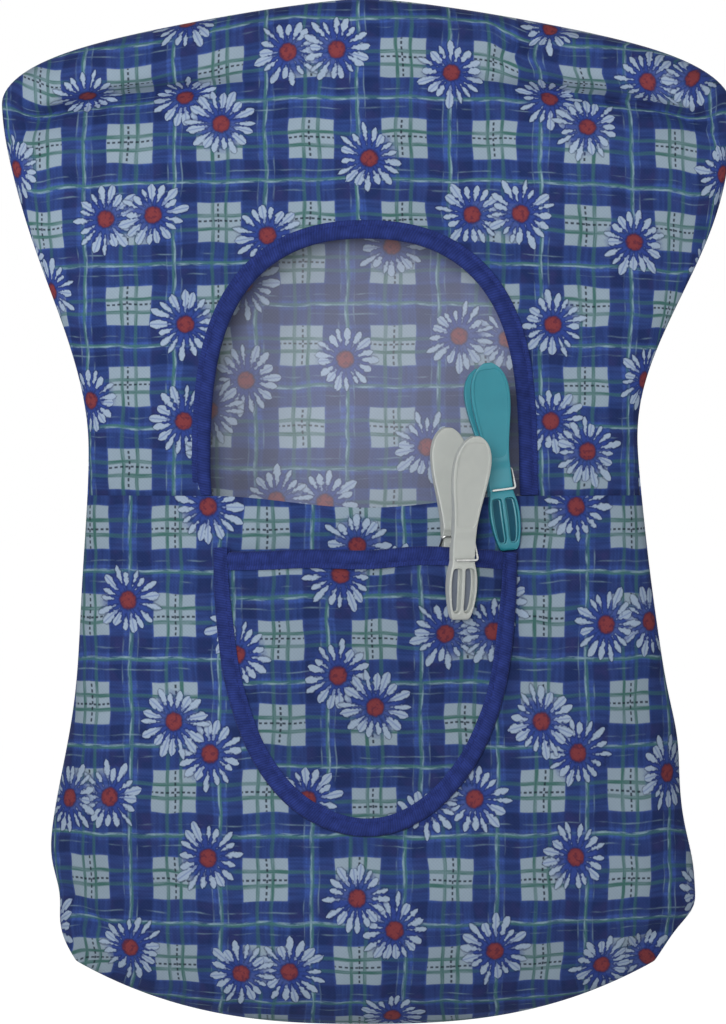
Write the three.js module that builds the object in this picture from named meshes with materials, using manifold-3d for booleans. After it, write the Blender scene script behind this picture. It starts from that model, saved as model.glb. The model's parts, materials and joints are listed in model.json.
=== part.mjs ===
// A printed cloth peg bag, cut like a small dress, on a wooden hanger with a swivel hook.
// A round-topped opening lets a hand in, a bound patch pocket sits below it, and two
// spring pegs grip the edges of the opening and of the pocket.
//
// Millimetres. +X is to the right of someone facing the bag, +Y runs from the front to the
// back, +Z is up. The origin is the point inside the hook's crown that bears on the line.

import * as THREE from 'three';
import { mergeVertices } from 'three/addons/utils/BufferGeometryUtils.js';
import Module from 'manifold-3d';

const wasm = await Module();
wasm.setup();

// Cloth, tape and the clearance that pieces keep where they touch
const CLOTH = 0.8;
const TAPE = 0.7;
const TAPE_WIDTH = 7.6;
const TAPE_SLACK = 0.5;
const GAP = 0.3;
const SEAM_GAP = 0.6;
const SEAM_TURN = 3;

// Outline of the bag, seen from the front. A drop is measured down from the neck.
const NECK_BELOW_LINE = 52;
const BAG_HEIGHT = 440;
const SHOULDER_HALF_WIDTH = 156;
const SHOULDER_SLOPE_FALL = 28;
const SHOULDER_TIP_FALL = 17;
const WAIST_HALF_WIDTH = 118.5;
const WAIST_DROP = 193;
const HEM_HALF_WIDTH = 136.5;
const HEM_ABOVE_BASE = 64;
const BASE_CORNER_HALF_WIDTH = 124;
const BASE_CORNER_LIFT = 27;

// How far the front and the back stand out from the seam plane, on the centre line
const SHOULDER_DEPTH = 10;
const CHEST_DROP = 120;
const FRONT_CHEST_DEPTH = 18;
const BACK_CHEST_DEPTH = 17;
const FRONT_LIP_DEPTH = 22;
const BACK_LIP_DEPTH = 20;
const BELLY_DROP = 345;
const FRONT_BELLY_DEPTH = 34;
const BACK_BELLY_DEPTH = 26;
const SHOULDER_ROUND = 10;
const BASE_ROUND = 50;

// The opening in the upper front, and the lip that the lower front makes under it
const LIP_DROP = 213;
const LIP_SAG = 5;
const LIP_OVERLAP = 10;
const OPENING_HALF_WIDTH = 66.5;
const OPENING_HEIGHT = 110;

// The patch pocket
const POCKET_HALF_WIDTH = 64;
const POCKET_HEIGHT = 120;
const POCKET_BELOW_LIP = 24.5;
const POCKET_GAPE = 18;

// The hanger and its hook
const HANGER_THICKNESS = 12;
const HANGER_EDGE_ROUND = 4;
const HANGER_HEIGHT_MIDDLE = 26;
const HANGER_HEIGHT_TIP = 15;
const HANGER_END_CLEARANCE = 17;
const HANGER_TOP_CLEARANCE = 0.6;
const HOOK_WIRE = 3.2;
const HOOK_INNER_RADIUS = 18;
const HOOK_BORE_CLEARANCE = 0.3;
const HOOK_TIP_ANGLE = 35;
const COLLAR_RADIUS = 3;
const COLLAR_HEIGHT = 2.4;
const HEAD_RADIUS = 3.2;
const HEAD_HEIGHT = 2;
const WASHER_RADIUS = 5.5;
const WASHER_THICKNESS = 1;

// A spring peg: two like halves and a wire spring
const PEG_LENGTH = 80;
const PEG_PIVOT = 35;
const PEG_BAR = 26;
const PEG_SPLAY = 15;
const PADDLE_FROM_TIP = 63.5;
const PADDLE_HALF_WIDTH = 8.2;
const PEG_NECK_HALF_WIDTH = 5.1;
const JAW_HALF_WIDTH = 6.4;
const PEG_NECK_THICKNESS = 5;
const PADDLE_THICKNESS = 3;
const PADDLE_DISH = 1;
const JAW_WALL = 1.1;
const JAW_WINDOW_DEPTH = 3;
const JAW_WINDOW_LOW = 2.6;
const JAW_WINDOW_TOP_WALL = 3.4;
const JAW_WINDOW_CORNER = 2;
const JAW_RIB = 1.3;
const SPRING_WIRE = 1.1;
const SPRING_COIL_RADIUS = 2.2;
const SPRING_TURNS = 2.5;
const SPRING_PITCH = 1.6;

// Where the pegs grip, in from the side of the opening and of the pocket and down over the edge, how
// many degrees each leans to the side, and the room that their jaws leave for the cloth and for the
// curve of the pocket's mouth
const TEAL_PEG_INSET = 8.5;
const TEAL_GRIP_DEPTH = 23.5;
const TEAL_LEAN = 5.5;
const WHITE_PEG_INSET = 25.5;
const WHITE_GRIP_DEPTH = 29;
const WHITE_LEAN = -1;
const JAW_CLEARANCE = 0.6;
const MOUTH_CURVE = 0.5;
const TEAL_PEG = { x: OPENING_HALF_WIDTH - TEAL_PEG_INSET, lean: TEAL_LEAN, gripDepth: TEAL_GRIP_DEPTH };
const WHITE_PEG = { x: POCKET_HALF_WIDTH - WHITE_PEG_INSET, lean: WHITE_LEAN, gripDepth: WHITE_GRIP_DEPTH };

// Faceting
const COLUMNS = 28;
const UPPER_ROWS = 9;
const LOWER_ROWS = 7;
const BACK_ROWS = 13;
const TURN_ROWS = 4;
const CURVE_STEPS = 32;
const CURL_STEPS = 8;

const baseCornerDrop = BAG_HEIGHT - BASE_CORNER_LIFT;
const hemDrop = BAG_HEIGHT - HEM_ABOVE_BASE;
const shoulderTipDrop = SHOULDER_SLOPE_FALL + SHOULDER_TIP_FALL;
const pocketMouthDrop = LIP_DROP + POCKET_BELOW_LIP;
const openingPowers = { across: 2.3, up: 3.4 };
const pocketPowers = { across: 2, up: 2.6 };
const bagShape = { shoulderBox: 8, bodyBox: 2.2, shoulderPower: 0.5, bodyPower: 0.6 };

// Small helpers

const clamp01 = (t) => Math.min(1, Math.max(0, t));
const mix = (a, b, t) => a + (b - a) * t;
const ease = (t) => clamp01(t) ** 2 * (3 - 2 * clamp01(t));
const radians = (degrees) => THREE.MathUtils.degToRad(degrees);
const roundedEdge = (t) => Math.sqrt(1 - (1 - clamp01(t)) ** 2);

// A smooth curve through [position, value] stations, level before the first and after the last.
function through(stations, at) {
  const last = stations.length - 1;
  if (at <= stations[0][0]) return stations[0][1];
  if (at >= stations[last][0]) return stations[last][1];
  const i = stations.findIndex(([x]) => at < x) - 1;
  const slope = (k) => {
    if (k === 0 || k === last) return 0;
    const [[x0, y0], [x1, y1]] = [stations[k - 1], stations[k + 1]];
    return (y1 - y0) / (x1 - x0);
  };
  const [[x0, y0], [x1, y1]] = [stations[i], stations[i + 1]];
  const h = x1 - x0;
  const t = (at - x0) / h;
  const start = y0 * (1 + 2 * t) * (1 - t) ** 2 + slope(i) * h * t * (1 - t) ** 2;
  return start + y1 * t * t * (3 - 2 * t) - slope(i + 1) * h * t * t * (1 - t);
}

// Solids

function geometryOf(points, triangles) {
  const geometry = new THREE.BufferGeometry();
  geometry.setAttribute('position', new THREE.Float32BufferAttribute(points, 3));
  geometry.setIndex(triangles);
  return geometry;
}

function solidOf(geometry) {
  const bare = geometry.clone();
  bare.deleteAttribute('normal');
  bare.deleteAttribute('uv');
  const merged = mergeVertices(bare, 1e-4);
  const vertProperties = new Float32Array(merged.attributes.position.array);
  const triVerts = new Uint32Array(merged.index.array);
  return new wasm.Manifold(new wasm.Mesh({ numProp: 3, vertProperties, triVerts }));
}

function geometryFrom(solid) {
  const mesh = solid.getMesh();
  return geometryOf(Array.from(mesh.vertProperties), Array.from(mesh.triVerts));
}

const cut = (geometry, ...tools) =>
  geometryFrom(tools.reduce((solid, tool) => solid.subtract(solidOf(tool)), solidOf(geometry)));
const keepInside = (geometry, tool) => geometryFrom(solidOf(geometry).intersect(solidOf(tool)));
const join = (geometry, ...others) =>
  geometryFrom(others.reduce((solid, other) => solid.add(solidOf(other)), solidOf(geometry)));

// Turns the faces round if they point inwards.
function facingOut(points, triangles) {
  const corner = (i) => new THREE.Vector3().fromArray(points, 3 * i);
  let volume = 0;
  for (let i = 0; i < triangles.length; i += 3) {
    const [a, b, c] = [0, 1, 2].map((k) => corner(triangles[i + k]));
    volume += a.dot(b.cross(c));
  }
  if (volume < 0) triangles.reverse();
  return geometryOf(points, triangles);
}

// Rings of points, one after another, skinned into a closed body with flat ends.
function skin(rings) {
  const count = rings[0].length;
  const points = rings.flat().flatMap((p) => p.toArray());
  const triangles = [];
  for (let i = 0; i + 1 < rings.length; i++) {
    for (let j = 0; j < count; j++) {
      const [a, b] = [i * count + j, i * count + ((j + 1) % count)];
      triangles.push(a, b, b + count, a, b + count, a + count);
    }
  }
  const flat = (ring, frame) => ring.map((p) => {
    const away = p.clone().sub(ring[0]);
    return new THREE.Vector2(away.dot(frame[0]), away.dot(frame[1]));
  });
  for (const i of [0, rings.length - 1]) {
    const ring = rings[i];
    const middle = Math.floor(count / 2);
    const across = ring[middle].clone().sub(ring[0]).normalize();
    const rough = ring[1].clone().sub(ring[0]);
    const up = rough.addScaledVector(across, -rough.dot(across)).normalize();
    const outline = flat(ring, [across, up]);
    const turned = THREE.ShapeUtils.isClockWise(outline);
    for (const [a, b, c] of THREE.ShapeUtils.triangulateShape(outline, [])) {
      const face = [a, b, c].map((k) => i * count + k);
      triangles.push(...((i === 0) === turned ? face : face.reverse()));
    }
  }
  return facingOut(points, triangles);
}

// A sheet with a thickness: place(i, j, side) gives the point on the face at side +1 or -1.
function sheet(rows, columns, place) {
  const points = [];
  const triangles = [];
  const index = (i, j, side) => 2 * (i * (columns + 1) + j) + (side > 0 ? 1 : 0);
  for (let i = 0; i <= rows; i++) {
    for (let j = 0; j <= columns; j++) {
      points.push(...place(i, j, -1).toArray(), ...place(i, j, 1).toArray());
    }
  }
  const quad = (a, b, c, d) => triangles.push(a, b, c, a, c, d);
  for (let i = 0; i < rows; i++) {
    for (let j = 0; j < columns; j++) {
      quad(index(i, j, 1), index(i, j + 1, 1), index(i + 1, j + 1, 1), index(i + 1, j, 1));
      quad(index(i, j, -1), index(i + 1, j, -1), index(i + 1, j + 1, -1), index(i, j + 1, -1));
    }
    quad(index(i, 0, -1), index(i, 0, 1), index(i + 1, 0, 1), index(i + 1, 0, -1));
    quad(index(i, columns, 1), index(i, columns, -1), index(i + 1, columns, -1), index(i + 1, columns, 1));
  }
  for (let j = 0; j < columns; j++) {
    quad(index(0, j, 1), index(0, j, -1), index(0, j + 1, -1), index(0, j + 1, 1));
    quad(index(rows, j, -1), index(rows, j, 1), index(rows, j + 1, 1), index(rows, j + 1, -1));
  }
  return facingOut(points, triangles);
}

// An outline in X and Z, as a prism that runs from the seam plane out through the front.
function frontPrism(outline) {
  const reach = 2 * (FRONT_BELLY_DEPTH + POCKET_GAPE);
  const shape = new THREE.Shape(outline.map(([x, z]) => new THREE.Vector2(x, z)));
  const prism = new THREE.ExtrudeGeometry(shape, { depth: reach, bevelEnabled: false });
  return prism.rotateX(Math.PI / 2);
}

// A tube of wire along points, with a frame carried from point to point.
function tube(points, diameter, sides) {
  const along = (i) => {
    const [a, b] = [points[Math.max(0, i - 1)], points[Math.min(points.length - 1, i + 1)]];
    return b.clone().sub(a).normalize();
  };
  const first = along(0);
  const helper = Math.abs(first.z) < 0.9 ? new THREE.Vector3(0, 0, 1) : new THREE.Vector3(1, 0, 0);
  const across = helper.cross(first).normalize();
  const rings = points.map((point, i) => {
    const tangent = along(i);
    across.addScaledVector(tangent, -across.dot(tangent)).normalize();
    const up = tangent.clone().cross(across);
    return Array.from({ length: sides }, (_, k) => {
      const angle = (2 * Math.PI * k) / sides;
      const ring = point.clone().addScaledVector(across, (Math.cos(angle) * diameter) / 2);
      return ring.addScaledVector(up, (Math.sin(angle) * diameter) / 2);
    });
  });
  return skin(rings);
}

// The same corners with each bend turned into a short curve.
function rounded(corners, radius, steps) {
  const points = [corners[0]];
  for (let i = 1; i + 1 < corners.length; i++) {
    const toward = (other) => {
      const way = other.clone().sub(corners[i]);
      return corners[i].clone().addScaledVector(way.clone().normalize(), Math.min(radius, way.length() / 2));
    };
    const bend = new THREE.QuadraticBezierCurve3(toward(corners[i - 1]), corners[i], toward(corners[i + 1]));
    points.push(...bend.getPoints(steps));
  }
  return [...points, corners[corners.length - 1]];
}

// The bag's surface

function halfWidth(drop) {
  if (drop <= shoulderTipDrop) return SHOULDER_HALF_WIDTH;
  if (drop <= WAIST_DROP) {
    const t = (drop - shoulderTipDrop) / (WAIST_DROP - shoulderTipDrop);
    return mix(SHOULDER_HALF_WIDTH, WAIST_HALF_WIDTH, ease(t));
  }
  if (drop <= hemDrop) {
    return mix(WAIST_HALF_WIDTH, HEM_HALF_WIDTH, ease((drop - WAIST_DROP) / (hemDrop - WAIST_DROP)));
  }
  const turn = clamp01((drop - hemDrop) / (baseCornerDrop - hemDrop));
  return mix(HEM_HALF_WIDTH, BASE_CORNER_HALF_WIDTH, turn ** 2);
}

// Shares across the bag run from -1 at the left seam to 1 at the right seam.
const shoulderDrop = (share) =>
  SHOULDER_SLOPE_FALL * Math.abs(share) ** 1.35 +
  SHOULDER_TIP_FALL * (1 - Math.sqrt(Math.max(0, 1 - share ** 8)));
const baseDrop = (share) => BAG_HEIGHT - BASE_CORNER_LIFT * Math.abs(share) ** 2.6;
const lipDrop = (share) => {
  const across = clamp01(Math.abs(share * halfWidth(LIP_DROP)) / OPENING_HALF_WIDTH);
  return LIP_DROP + LIP_SAG * Math.cos((across * Math.PI) / 2) ** 2;
};

const depthStations = (chest, lip, belly) => [
  [shoulderTipDrop, SHOULDER_DEPTH],
  [CHEST_DROP, chest],
  [LIP_DROP, lip],
  [BELLY_DROP, belly],
];
const frontStations = depthStations(FRONT_CHEST_DEPTH, FRONT_LIP_DEPTH, FRONT_BELLY_DEPTH);
const backStations = depthStations(BACK_CHEST_DEPTH, BACK_LIP_DEPTH, BACK_BELLY_DEPTH);

function depth(stations, share, drop) {
  const body = ease((drop - shoulderTipDrop) / (CHEST_DROP - shoulderTipDrop));
  const box = mix(bagShape.shoulderBox, bagShape.bodyBox, body);
  const power = mix(bagShape.shoulderPower, bagShape.bodyPower, body);
  const across = Math.max(0, 1 - Math.abs(share) ** box) ** power;
  const top = roundedEdge((drop - shoulderDrop(share)) / SHOULDER_ROUND);
  const base = roundedEdge((baseDrop(share) - drop) / BASE_ROUND);
  return through(stations, drop) * across * top * base;
}

// side is -1 on the front and 1 on the back.
function bare(side, share, drop) {
  const out = SEAM_GAP / 2 + depth(side < 0 ? frontStations : backStations, share, drop);
  return new THREE.Vector3(halfWidth(drop) * share, side * out, -NECK_BELOW_LINE - drop);
}

// A point on the bag, lifted off the cloth's middle, with the direction that it was lifted in.
function onBag(side, share, drop, lift = 0) {
  const [shareStep, downStep] = [0.002, 0.0002];
  const down = (drop - shoulderDrop(share)) / (baseDrop(share) - shoulderDrop(share));
  const at = (s, d) => bare(side, s, mix(shoulderDrop(s), baseDrop(s), clamp01(d)));
  const across = at(Math.min(1, share + shareStep), down).sub(at(Math.max(-1, share - shareStep), down));
  const upward = at(share, down - downStep).sub(at(share, down + downStep));
  const normal = across.cross(upward).normalize();
  if (side > 0) normal.negate();
  const point = bare(side, share, drop);
  normal.y *= clamp01((Math.abs(point.y) - SEAM_GAP / 2) / SEAM_TURN);
  normal.normalize();
  return { point: point.addScaledVector(normal, lift), normal };
}

// Shares of the columns, closer together towards the seams where the cloth turns.
const columnShare = (j) => Math.sin((Math.PI / 2) * ((2 * j) / COLUMNS - 1));

// Drops of the rows of a panel, closer together where the cloth turns over at a seam.
const quarterTurn = (k) => (Math.PI / 2) * (k / TURN_ROWS);
const turnSteps = Array.from({ length: TURN_ROWS + 1 }, (_, k) => 1 - Math.cos(quarterTurn(k)));
const shoulderRows = (share) => turnSteps.map((t) => shoulderDrop(share) + SHOULDER_ROUND * t);
const baseRows = (share) => turnSteps.map((t) => baseDrop(share) - BASE_ROUND * t).reverse();
const evenRows = (from, to, count) => Array.from({ length: count + 1 }, (_, i) => mix(from, to, i / count));

function upperRows(share) {
  const turned = shoulderRows(share);
  const joint = [-2, -1, 0, 1].map((k) => LIP_DROP + k * LIP_OVERLAP);
  return [...turned, ...evenRows(turned[TURN_ROWS], joint[0], UPPER_ROWS).slice(1, -1), ...joint];
}

function lowerRows(share) {
  const turned = baseRows(share);
  const joint = lipDrop(share) + LIP_OVERLAP;
  return [lipDrop(share), ...evenRows(joint, turned[0], LOWER_ROWS).slice(0, -1), ...turned];
}

function backRows(share) {
  const [top, base] = [shoulderRows(share), baseRows(share)];
  return [...top, ...evenRows(top[TURN_ROWS], base[0], BACK_ROWS).slice(1, -1), ...base];
}

function bagSheet(side, rowsOf, liftOf = () => 0) {
  const columns = Array.from({ length: COLUMNS + 1 }, (_, j) => rowsOf(columnShare(j)));
  return sheet(columns[0].length - 1, COLUMNS, (i, j, face) => {
    const drop = columns[j][i];
    return onBag(side, columnShare(j), drop, liftOf(drop) + (face * CLOTH) / 2).point;
  });
}

// The upper front lies inside the lower front where they overlap at the lip.
const upperLift = (drop) => -(CLOTH + GAP) * ease((drop - LIP_DROP) / (2 * LIP_OVERLAP) + 1);

// The opening and its tape

// A round-ended line from its right foot over to its left foot, in even steps: the points where
// the share across to one power and the share up to another add up to 1.
function roundEnd(halfAcross, tall, powers) {
  const count = 8 * CURVE_STEPS;
  const fine = Array.from({ length: count + 1 }, (_, i) => {
    const [along, up] = [Math.cos((Math.PI * i) / count), Math.abs(Math.sin((Math.PI * i) / count))];
    const across = Math.sign(along) * Math.abs(along) ** (2 / powers.across);
    return new THREE.Vector2(halfAcross * across, tall * up ** (2 / powers.up));
  });
  return new THREE.Path().setFromPoints(fine).getSpacedPoints(CURVE_STEPS);
}

function openingOutline() {
  const margin = TAPE + GAP;
  const foot = -NECK_BELOW_LINE - LIP_DROP + GAP;
  const below = foot - 2 * LIP_OVERLAP;
  const half = OPENING_HALF_WIDTH + margin;
  const arch = roundEnd(half, OPENING_HEIGHT + margin, openingPowers);
  return [[half, below], ...arch.map(({ x, y }) => [x, foot + y]), [-half, below]];
}

const hookHole = () => {
  const tall = 4 * SHOULDER_ROUND;
  const hole = new THREE.CylinderGeometry(COLLAR_RADIUS + GAP, COLLAR_RADIUS + GAP, tall, 12);
  return hole.rotateX(Math.PI / 2).translate(0, 0, -NECK_BELOW_LINE + tall / 2 - SHOULDER_ROUND);
};

function frontUpperPanel() {
  const panel = bagSheet(-1, upperRows, upperLift);
  return cut(panel, frontPrism(openingOutline()), hookHole());
}

const frontLowerPanel = () => bagSheet(-1, lowerRows);
const backPanel = () => cut(bagSheet(1, backRows), hookHole());

// Tape folded over a cloth edge: the fold lies on the line, and the two layers run inwards.
const foldedTape = () => {
  const slot = CLOTH / 2 + TAPE_SLACK;
  const outer = slot + TAPE;
  return [
    [0, -outer], [TAPE_WIDTH, -outer], [TAPE_WIDTH, -slot], [TAPE, -slot],
    [TAPE, slot], [TAPE_WIDTH, slot], [TAPE_WIDTH, outer], [0, outer],
  ];
};

// places holds {point, normal} along the edge, with the cloth to the right of the walk.
function tapeAlong(places) {
  const section = foldedTape();
  const rings = places.map(({ point, normal }, i) => {
    const before = places[Math.max(0, i - 1)].point;
    const after = places[Math.min(places.length - 1, i + 1)].point;
    const way = after.clone().sub(before).normalize();
    const toCloth = way.cross(normal).normalize();
    return section.map(([across, out]) =>
      point.clone().addScaledVector(toCloth, across).addScaledVector(normal, out));
  });
  return skin(rings);
}

function openingBinding() {
  const foot = LIP_DROP - GAP;
  const places = roundEnd(OPENING_HALF_WIDTH, OPENING_HEIGHT, openingPowers).map(({ x, y }) => {
    const drop = foot - y;
    return onBag(-1, x / halfWidth(drop), drop, upperLift(drop));
  });
  return tapeAlong(places);
}

// The pocket

// How far the middle of the pocket's cloth stands off the middle of the lower front.
function pocketLift(x, down) {
  const across = Math.abs(x / POCKET_HALF_WIDTH) ** pocketPowers.across;
  const inside = Math.max(-0.2, 1 - across - Math.max(0, down) ** pocketPowers.up);
  const seat = CLOTH + TAPE + TAPE_SLACK + GAP;
  return seat + POCKET_GAPE * inside * Math.max(0, 1 - down) ** 3;
}

// x is across the pocket, drop is below the neck.
function onPocket(x, drop, extra = 0) {
  const place = (px, pd) => {
    const down = (pd - pocketMouthDrop) / POCKET_HEIGHT;
    return onBag(-1, px / halfWidth(pd), pd, pocketLift(px, down)).point;
  };
  const step = 0.1;
  const across = place(x + step, drop).sub(place(x - step, drop));
  const upward = place(x, drop - step).sub(place(x, drop + step));
  const normal = across.cross(upward).normalize();
  return { point: place(x, drop).addScaledVector(normal, extra), normal };
}

// Points [x, drop] down one side of the pocket, round its bottom and up the other side.
const pocketEdge = (margin) =>
  roundEnd(POCKET_HALF_WIDTH - margin, POCKET_HEIGHT - margin, pocketPowers)
    .map(({ x, y }) => [x, pocketMouthDrop + y]);

function pocketPanel() {
  const margin = TAPE + GAP;
  const [rows, columns] = [10, 14];
  const patch = sheet(rows, columns, (i, j, face) => {
    const x = mix(-POCKET_HALF_WIDTH, POCKET_HALF_WIDTH, j / columns);
    const drop = pocketMouthDrop + margin + (POCKET_HEIGHT * i) / rows;
    return onPocket(x, drop, (face * CLOTH) / 2).point;
  });
  const edge = pocketEdge(margin).map(([x, drop]) => [x, -NECK_BELOW_LINE - drop]);
  const above = -NECK_BELOW_LINE - pocketMouthDrop + POCKET_BELOW_LIP;
  const half = POCKET_HALF_WIDTH - margin;
  return keepInside(patch, frontPrism([[-half, above], ...edge.reverse(), [half, above]]));
}

function pocketEdgeBinding() {
  const places = pocketEdge(0).map(([x, drop]) => onPocket(x, drop));
  return tapeAlong(places);
}

function pocketTopBinding() {
  const half = POCKET_HALF_WIDTH - TAPE_WIDTH - 2 * GAP;
  const steps = 16;
  const places = Array.from({ length: steps + 1 }, (_, i) =>
    onPocket(mix(-half, half, i / steps), pocketMouthDrop));
  return tapeAlong(places);
}

// The hanger and its hook

const hangerTopDrop = (x) =>
  shoulderDrop(x / SHOULDER_HALF_WIDTH) + CLOTH / 2 + CLOTH + GAP + HANGER_TOP_CLEARANCE;
const stemBore = HOOK_WIRE / 2 + HOOK_BORE_CLEARANCE;
const hangerTopZ = -NECK_BELOW_LINE - hangerTopDrop(0);
const hangerBottomZ = hangerTopZ - HANGER_HEIGHT_MIDDLE;

function hangerBody() {
  const half = SHOULDER_HALF_WIDTH - HANGER_END_CLEARANCE;
  const inset = HANGER_EDGE_ROUND;
  const across = Array.from({ length: 17 }, (_, i) => mix(-half + inset, half - inset, i / 16));
  const top = across.map((x) => [x, -NECK_BELOW_LINE - hangerTopDrop(x) - inset]);
  const bottom = across.map((x) => {
    const tall = mix(HANGER_HEIGHT_MIDDLE, HANGER_HEIGHT_TIP, ease(Math.abs(x) / half));
    return [x, -NECK_BELOW_LINE - hangerTopDrop(x) - tall + inset];
  });
  const shape = new THREE.Shape([...bottom, ...top.reverse()].map(([x, z]) => new THREE.Vector2(x, z)));
  const body = new THREE.ExtrudeGeometry(shape, {
    depth: HANGER_THICKNESS - 2 * inset,
    bevelThickness: inset,
    bevelSize: inset,
    bevelSegments: 2,
  });
  body.rotateX(Math.PI / 2).translate(0, HANGER_THICKNESS / 2 - inset, 0);
  const bore = new THREE.CylinderGeometry(stemBore, stemBore, 2 * HANGER_HEIGHT_MIDDLE, 16);
  bore.rotateX(Math.PI / 2).translate(0, 0, (hangerTopZ + hangerBottomZ) / 2);
  return cut(body, bore);
}

const washerTopZ = hangerBottomZ - 2 * GAP;
const headTopZ = washerTopZ - WASHER_THICKNESS - GAP;

// The wire runs up the stem, out to one side and over the crown to its tip.
function hookPath() {
  const radius = HOOK_INNER_RADIUS + HOOK_WIRE / 2;
  const centreZ = -HOOK_INNER_RADIUS;
  const bendZ = -NECK_BELOW_LINE + 2 * COLLAR_HEIGHT + HOOK_WIRE;
  const start = radians(-60);
  const end = radians(180 + HOOK_TIP_ANGLE);
  const arc = Array.from({ length: CURVE_STEPS + 1 }, (_, i) => {
    const angle = mix(start, end, i / CURVE_STEPS);
    return new THREE.Vector3(radius * Math.cos(angle), 0, centreZ + radius * Math.sin(angle));
  });
  const into = new THREE.Vector3(-Math.sin(start), 0, Math.cos(start));
  const bend = new THREE.CubicBezierCurve3(
    new THREE.Vector3(0, 0, bendZ),
    new THREE.Vector3(0, 0, mix(bendZ, arc[0].z, 0.6)),
    arc[0].clone().addScaledVector(into, -radius / 3),
    arc[0],
  );
  const foot = new THREE.Vector3(0, 0, headTopZ - HEAD_HEIGHT / 2);
  return [foot, ...bend.getPoints(6), ...arc.slice(1)];
}

function hook() {
  const collar = new THREE.CylinderGeometry(COLLAR_RADIUS, COLLAR_RADIUS, COLLAR_HEIGHT, 12);
  collar.rotateX(Math.PI / 2).translate(0, 0, hangerTopZ + GAP + COLLAR_HEIGHT / 2);
  const head = new THREE.CylinderGeometry(HEAD_RADIUS, HEAD_RADIUS * 0.7, HEAD_HEIGHT, 12);
  head.rotateX(Math.PI / 2).translate(0, 0, headTopZ - HEAD_HEIGHT / 2);
  return join(tube(hookPath(), HOOK_WIRE, 10), collar, head);
}

function hookWasher() {
  const half = WASHER_THICKNESS / 2;
  const [inner, outer] = [stemBore, WASHER_RADIUS];
  const ring = [[inner, -half], [outer, -half], [outer, half], [inner, half], [inner, -half]];
  const washer = new THREE.LatheGeometry(ring.map(([r, y]) => new THREE.Vector2(r, y)), 20);
  return washer.rotateX(Math.PI / 2).translate(0, 0, washerTopZ - half);
}

// The pegs. A peg's own frame has its origin between the tips of the jaws, Z up along the
// gripped cloth and Y towards the back, so the front half lies at negative Y.

// Stations along a half, from the tip of the jaw to the end of the paddle:
// distance from the tip, half width, thickness, depth of the dish.
const pegStations = () => {
  const swell = (t) => mix(PEG_NECK_HALF_WIDTH, PADDLE_HALF_WIDTH, t);
  const handle = (t) => mix(PEG_PIVOT, PADDLE_FROM_TIP, t);
  const end = (t) => mix(PADDLE_FROM_TIP, PEG_LENGTH, t);
  return [
    [0, JAW_HALF_WIDTH * 0.5, PEG_NECK_THICKNESS * 0.55, 0],
    [PEG_BAR * 0.06, JAW_HALF_WIDTH * 0.66, PEG_NECK_THICKNESS * 0.75, 0],
    [PEG_BAR * 0.27, JAW_HALF_WIDTH * 0.92, PEG_NECK_THICKNESS * 0.95, 0],
    [PEG_BAR * 0.54, JAW_HALF_WIDTH, PEG_NECK_THICKNESS * 1.05, 0],
    [PEG_BAR * 0.81, JAW_HALF_WIDTH * 0.93, PEG_NECK_THICKNESS * 1.05, 0],
    [PEG_BAR - SPRING_WIRE, PEG_NECK_HALF_WIDTH, PEG_NECK_THICKNESS, 0],
    [PEG_BAR + SPRING_WIRE, PEG_NECK_HALF_WIDTH, PEG_NECK_THICKNESS, 0],
    [PEG_PIVOT, PEG_NECK_HALF_WIDTH, PEG_NECK_THICKNESS, PADDLE_DISH * 0.2],
    [handle(0.28), swell(0.06), PEG_NECK_THICKNESS * 0.9, PADDLE_DISH * 0.5],
    [handle(0.62), swell(0.45), PADDLE_THICKNESS * 1.25, PADDLE_DISH * 0.8],
    [handle(0.85), swell(0.88), PADDLE_THICKNESS, PADDLE_DISH],
    [PADDLE_FROM_TIP, PADDLE_HALF_WIDTH, PADDLE_THICKNESS, PADDLE_DISH],
    [end(0.45), PADDLE_HALF_WIDTH * 0.96, PADDLE_THICKNESS, PADDLE_DISH],
    [end(0.75), PADDLE_HALF_WIDTH * 0.78, PADDLE_THICKNESS * 0.95, PADDLE_DISH],
    [end(0.93), PADDLE_HALF_WIDTH * 0.5, PADDLE_THICKNESS * 0.85, PADDLE_DISH / 2],
    [PEG_LENGTH, PADDLE_HALF_WIDTH * 0.2, PADDLE_THICKNESS * 0.6, 0],
  ];
};

// How far a handle has splayed away from the plane of the jaws.
const splayAt = (fromTip) => Math.max(0, fromTip - PEG_PIVOT) * Math.tan(radians(PEG_SPLAY));

// side is -1 for the front half and 1 for the rear half; grip is the thickness between the jaws.
function pegHalf(side, grip) {
  const rings = pegStations().map(([fromTip, half, thick, dish]) => {
    const inner = grip / 2 + splayAt(fromTip);
    const edge = Math.min(1, half / 3);
    const section = [
      [-half, inner], [half, inner], [half, inner + thick - edge], [half - edge, inner + thick],
      [half * 0.55, inner + thick - dish], [-half * 0.55, inner + thick - dish],
      [-half + edge, inner + thick], [-half, inner + thick - edge],
    ];
    return section.map(([x, y]) => new THREE.Vector3(x, side * y, fromTip));
  });
  return cut(skin(rings), pivotGroove(), ...jawWindows(side, grip));
}

const pivotGroove = () => {
  const radius = SPRING_COIL_RADIUS + SPRING_WIRE / 2 + GAP;
  const groove = new THREE.CylinderGeometry(radius, radius, 4 * PEG_NECK_HALF_WIDTH, 16);
  return groove.rotateZ(Math.PI / 2).translate(0, 0, PEG_PIVOT);
};

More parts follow.
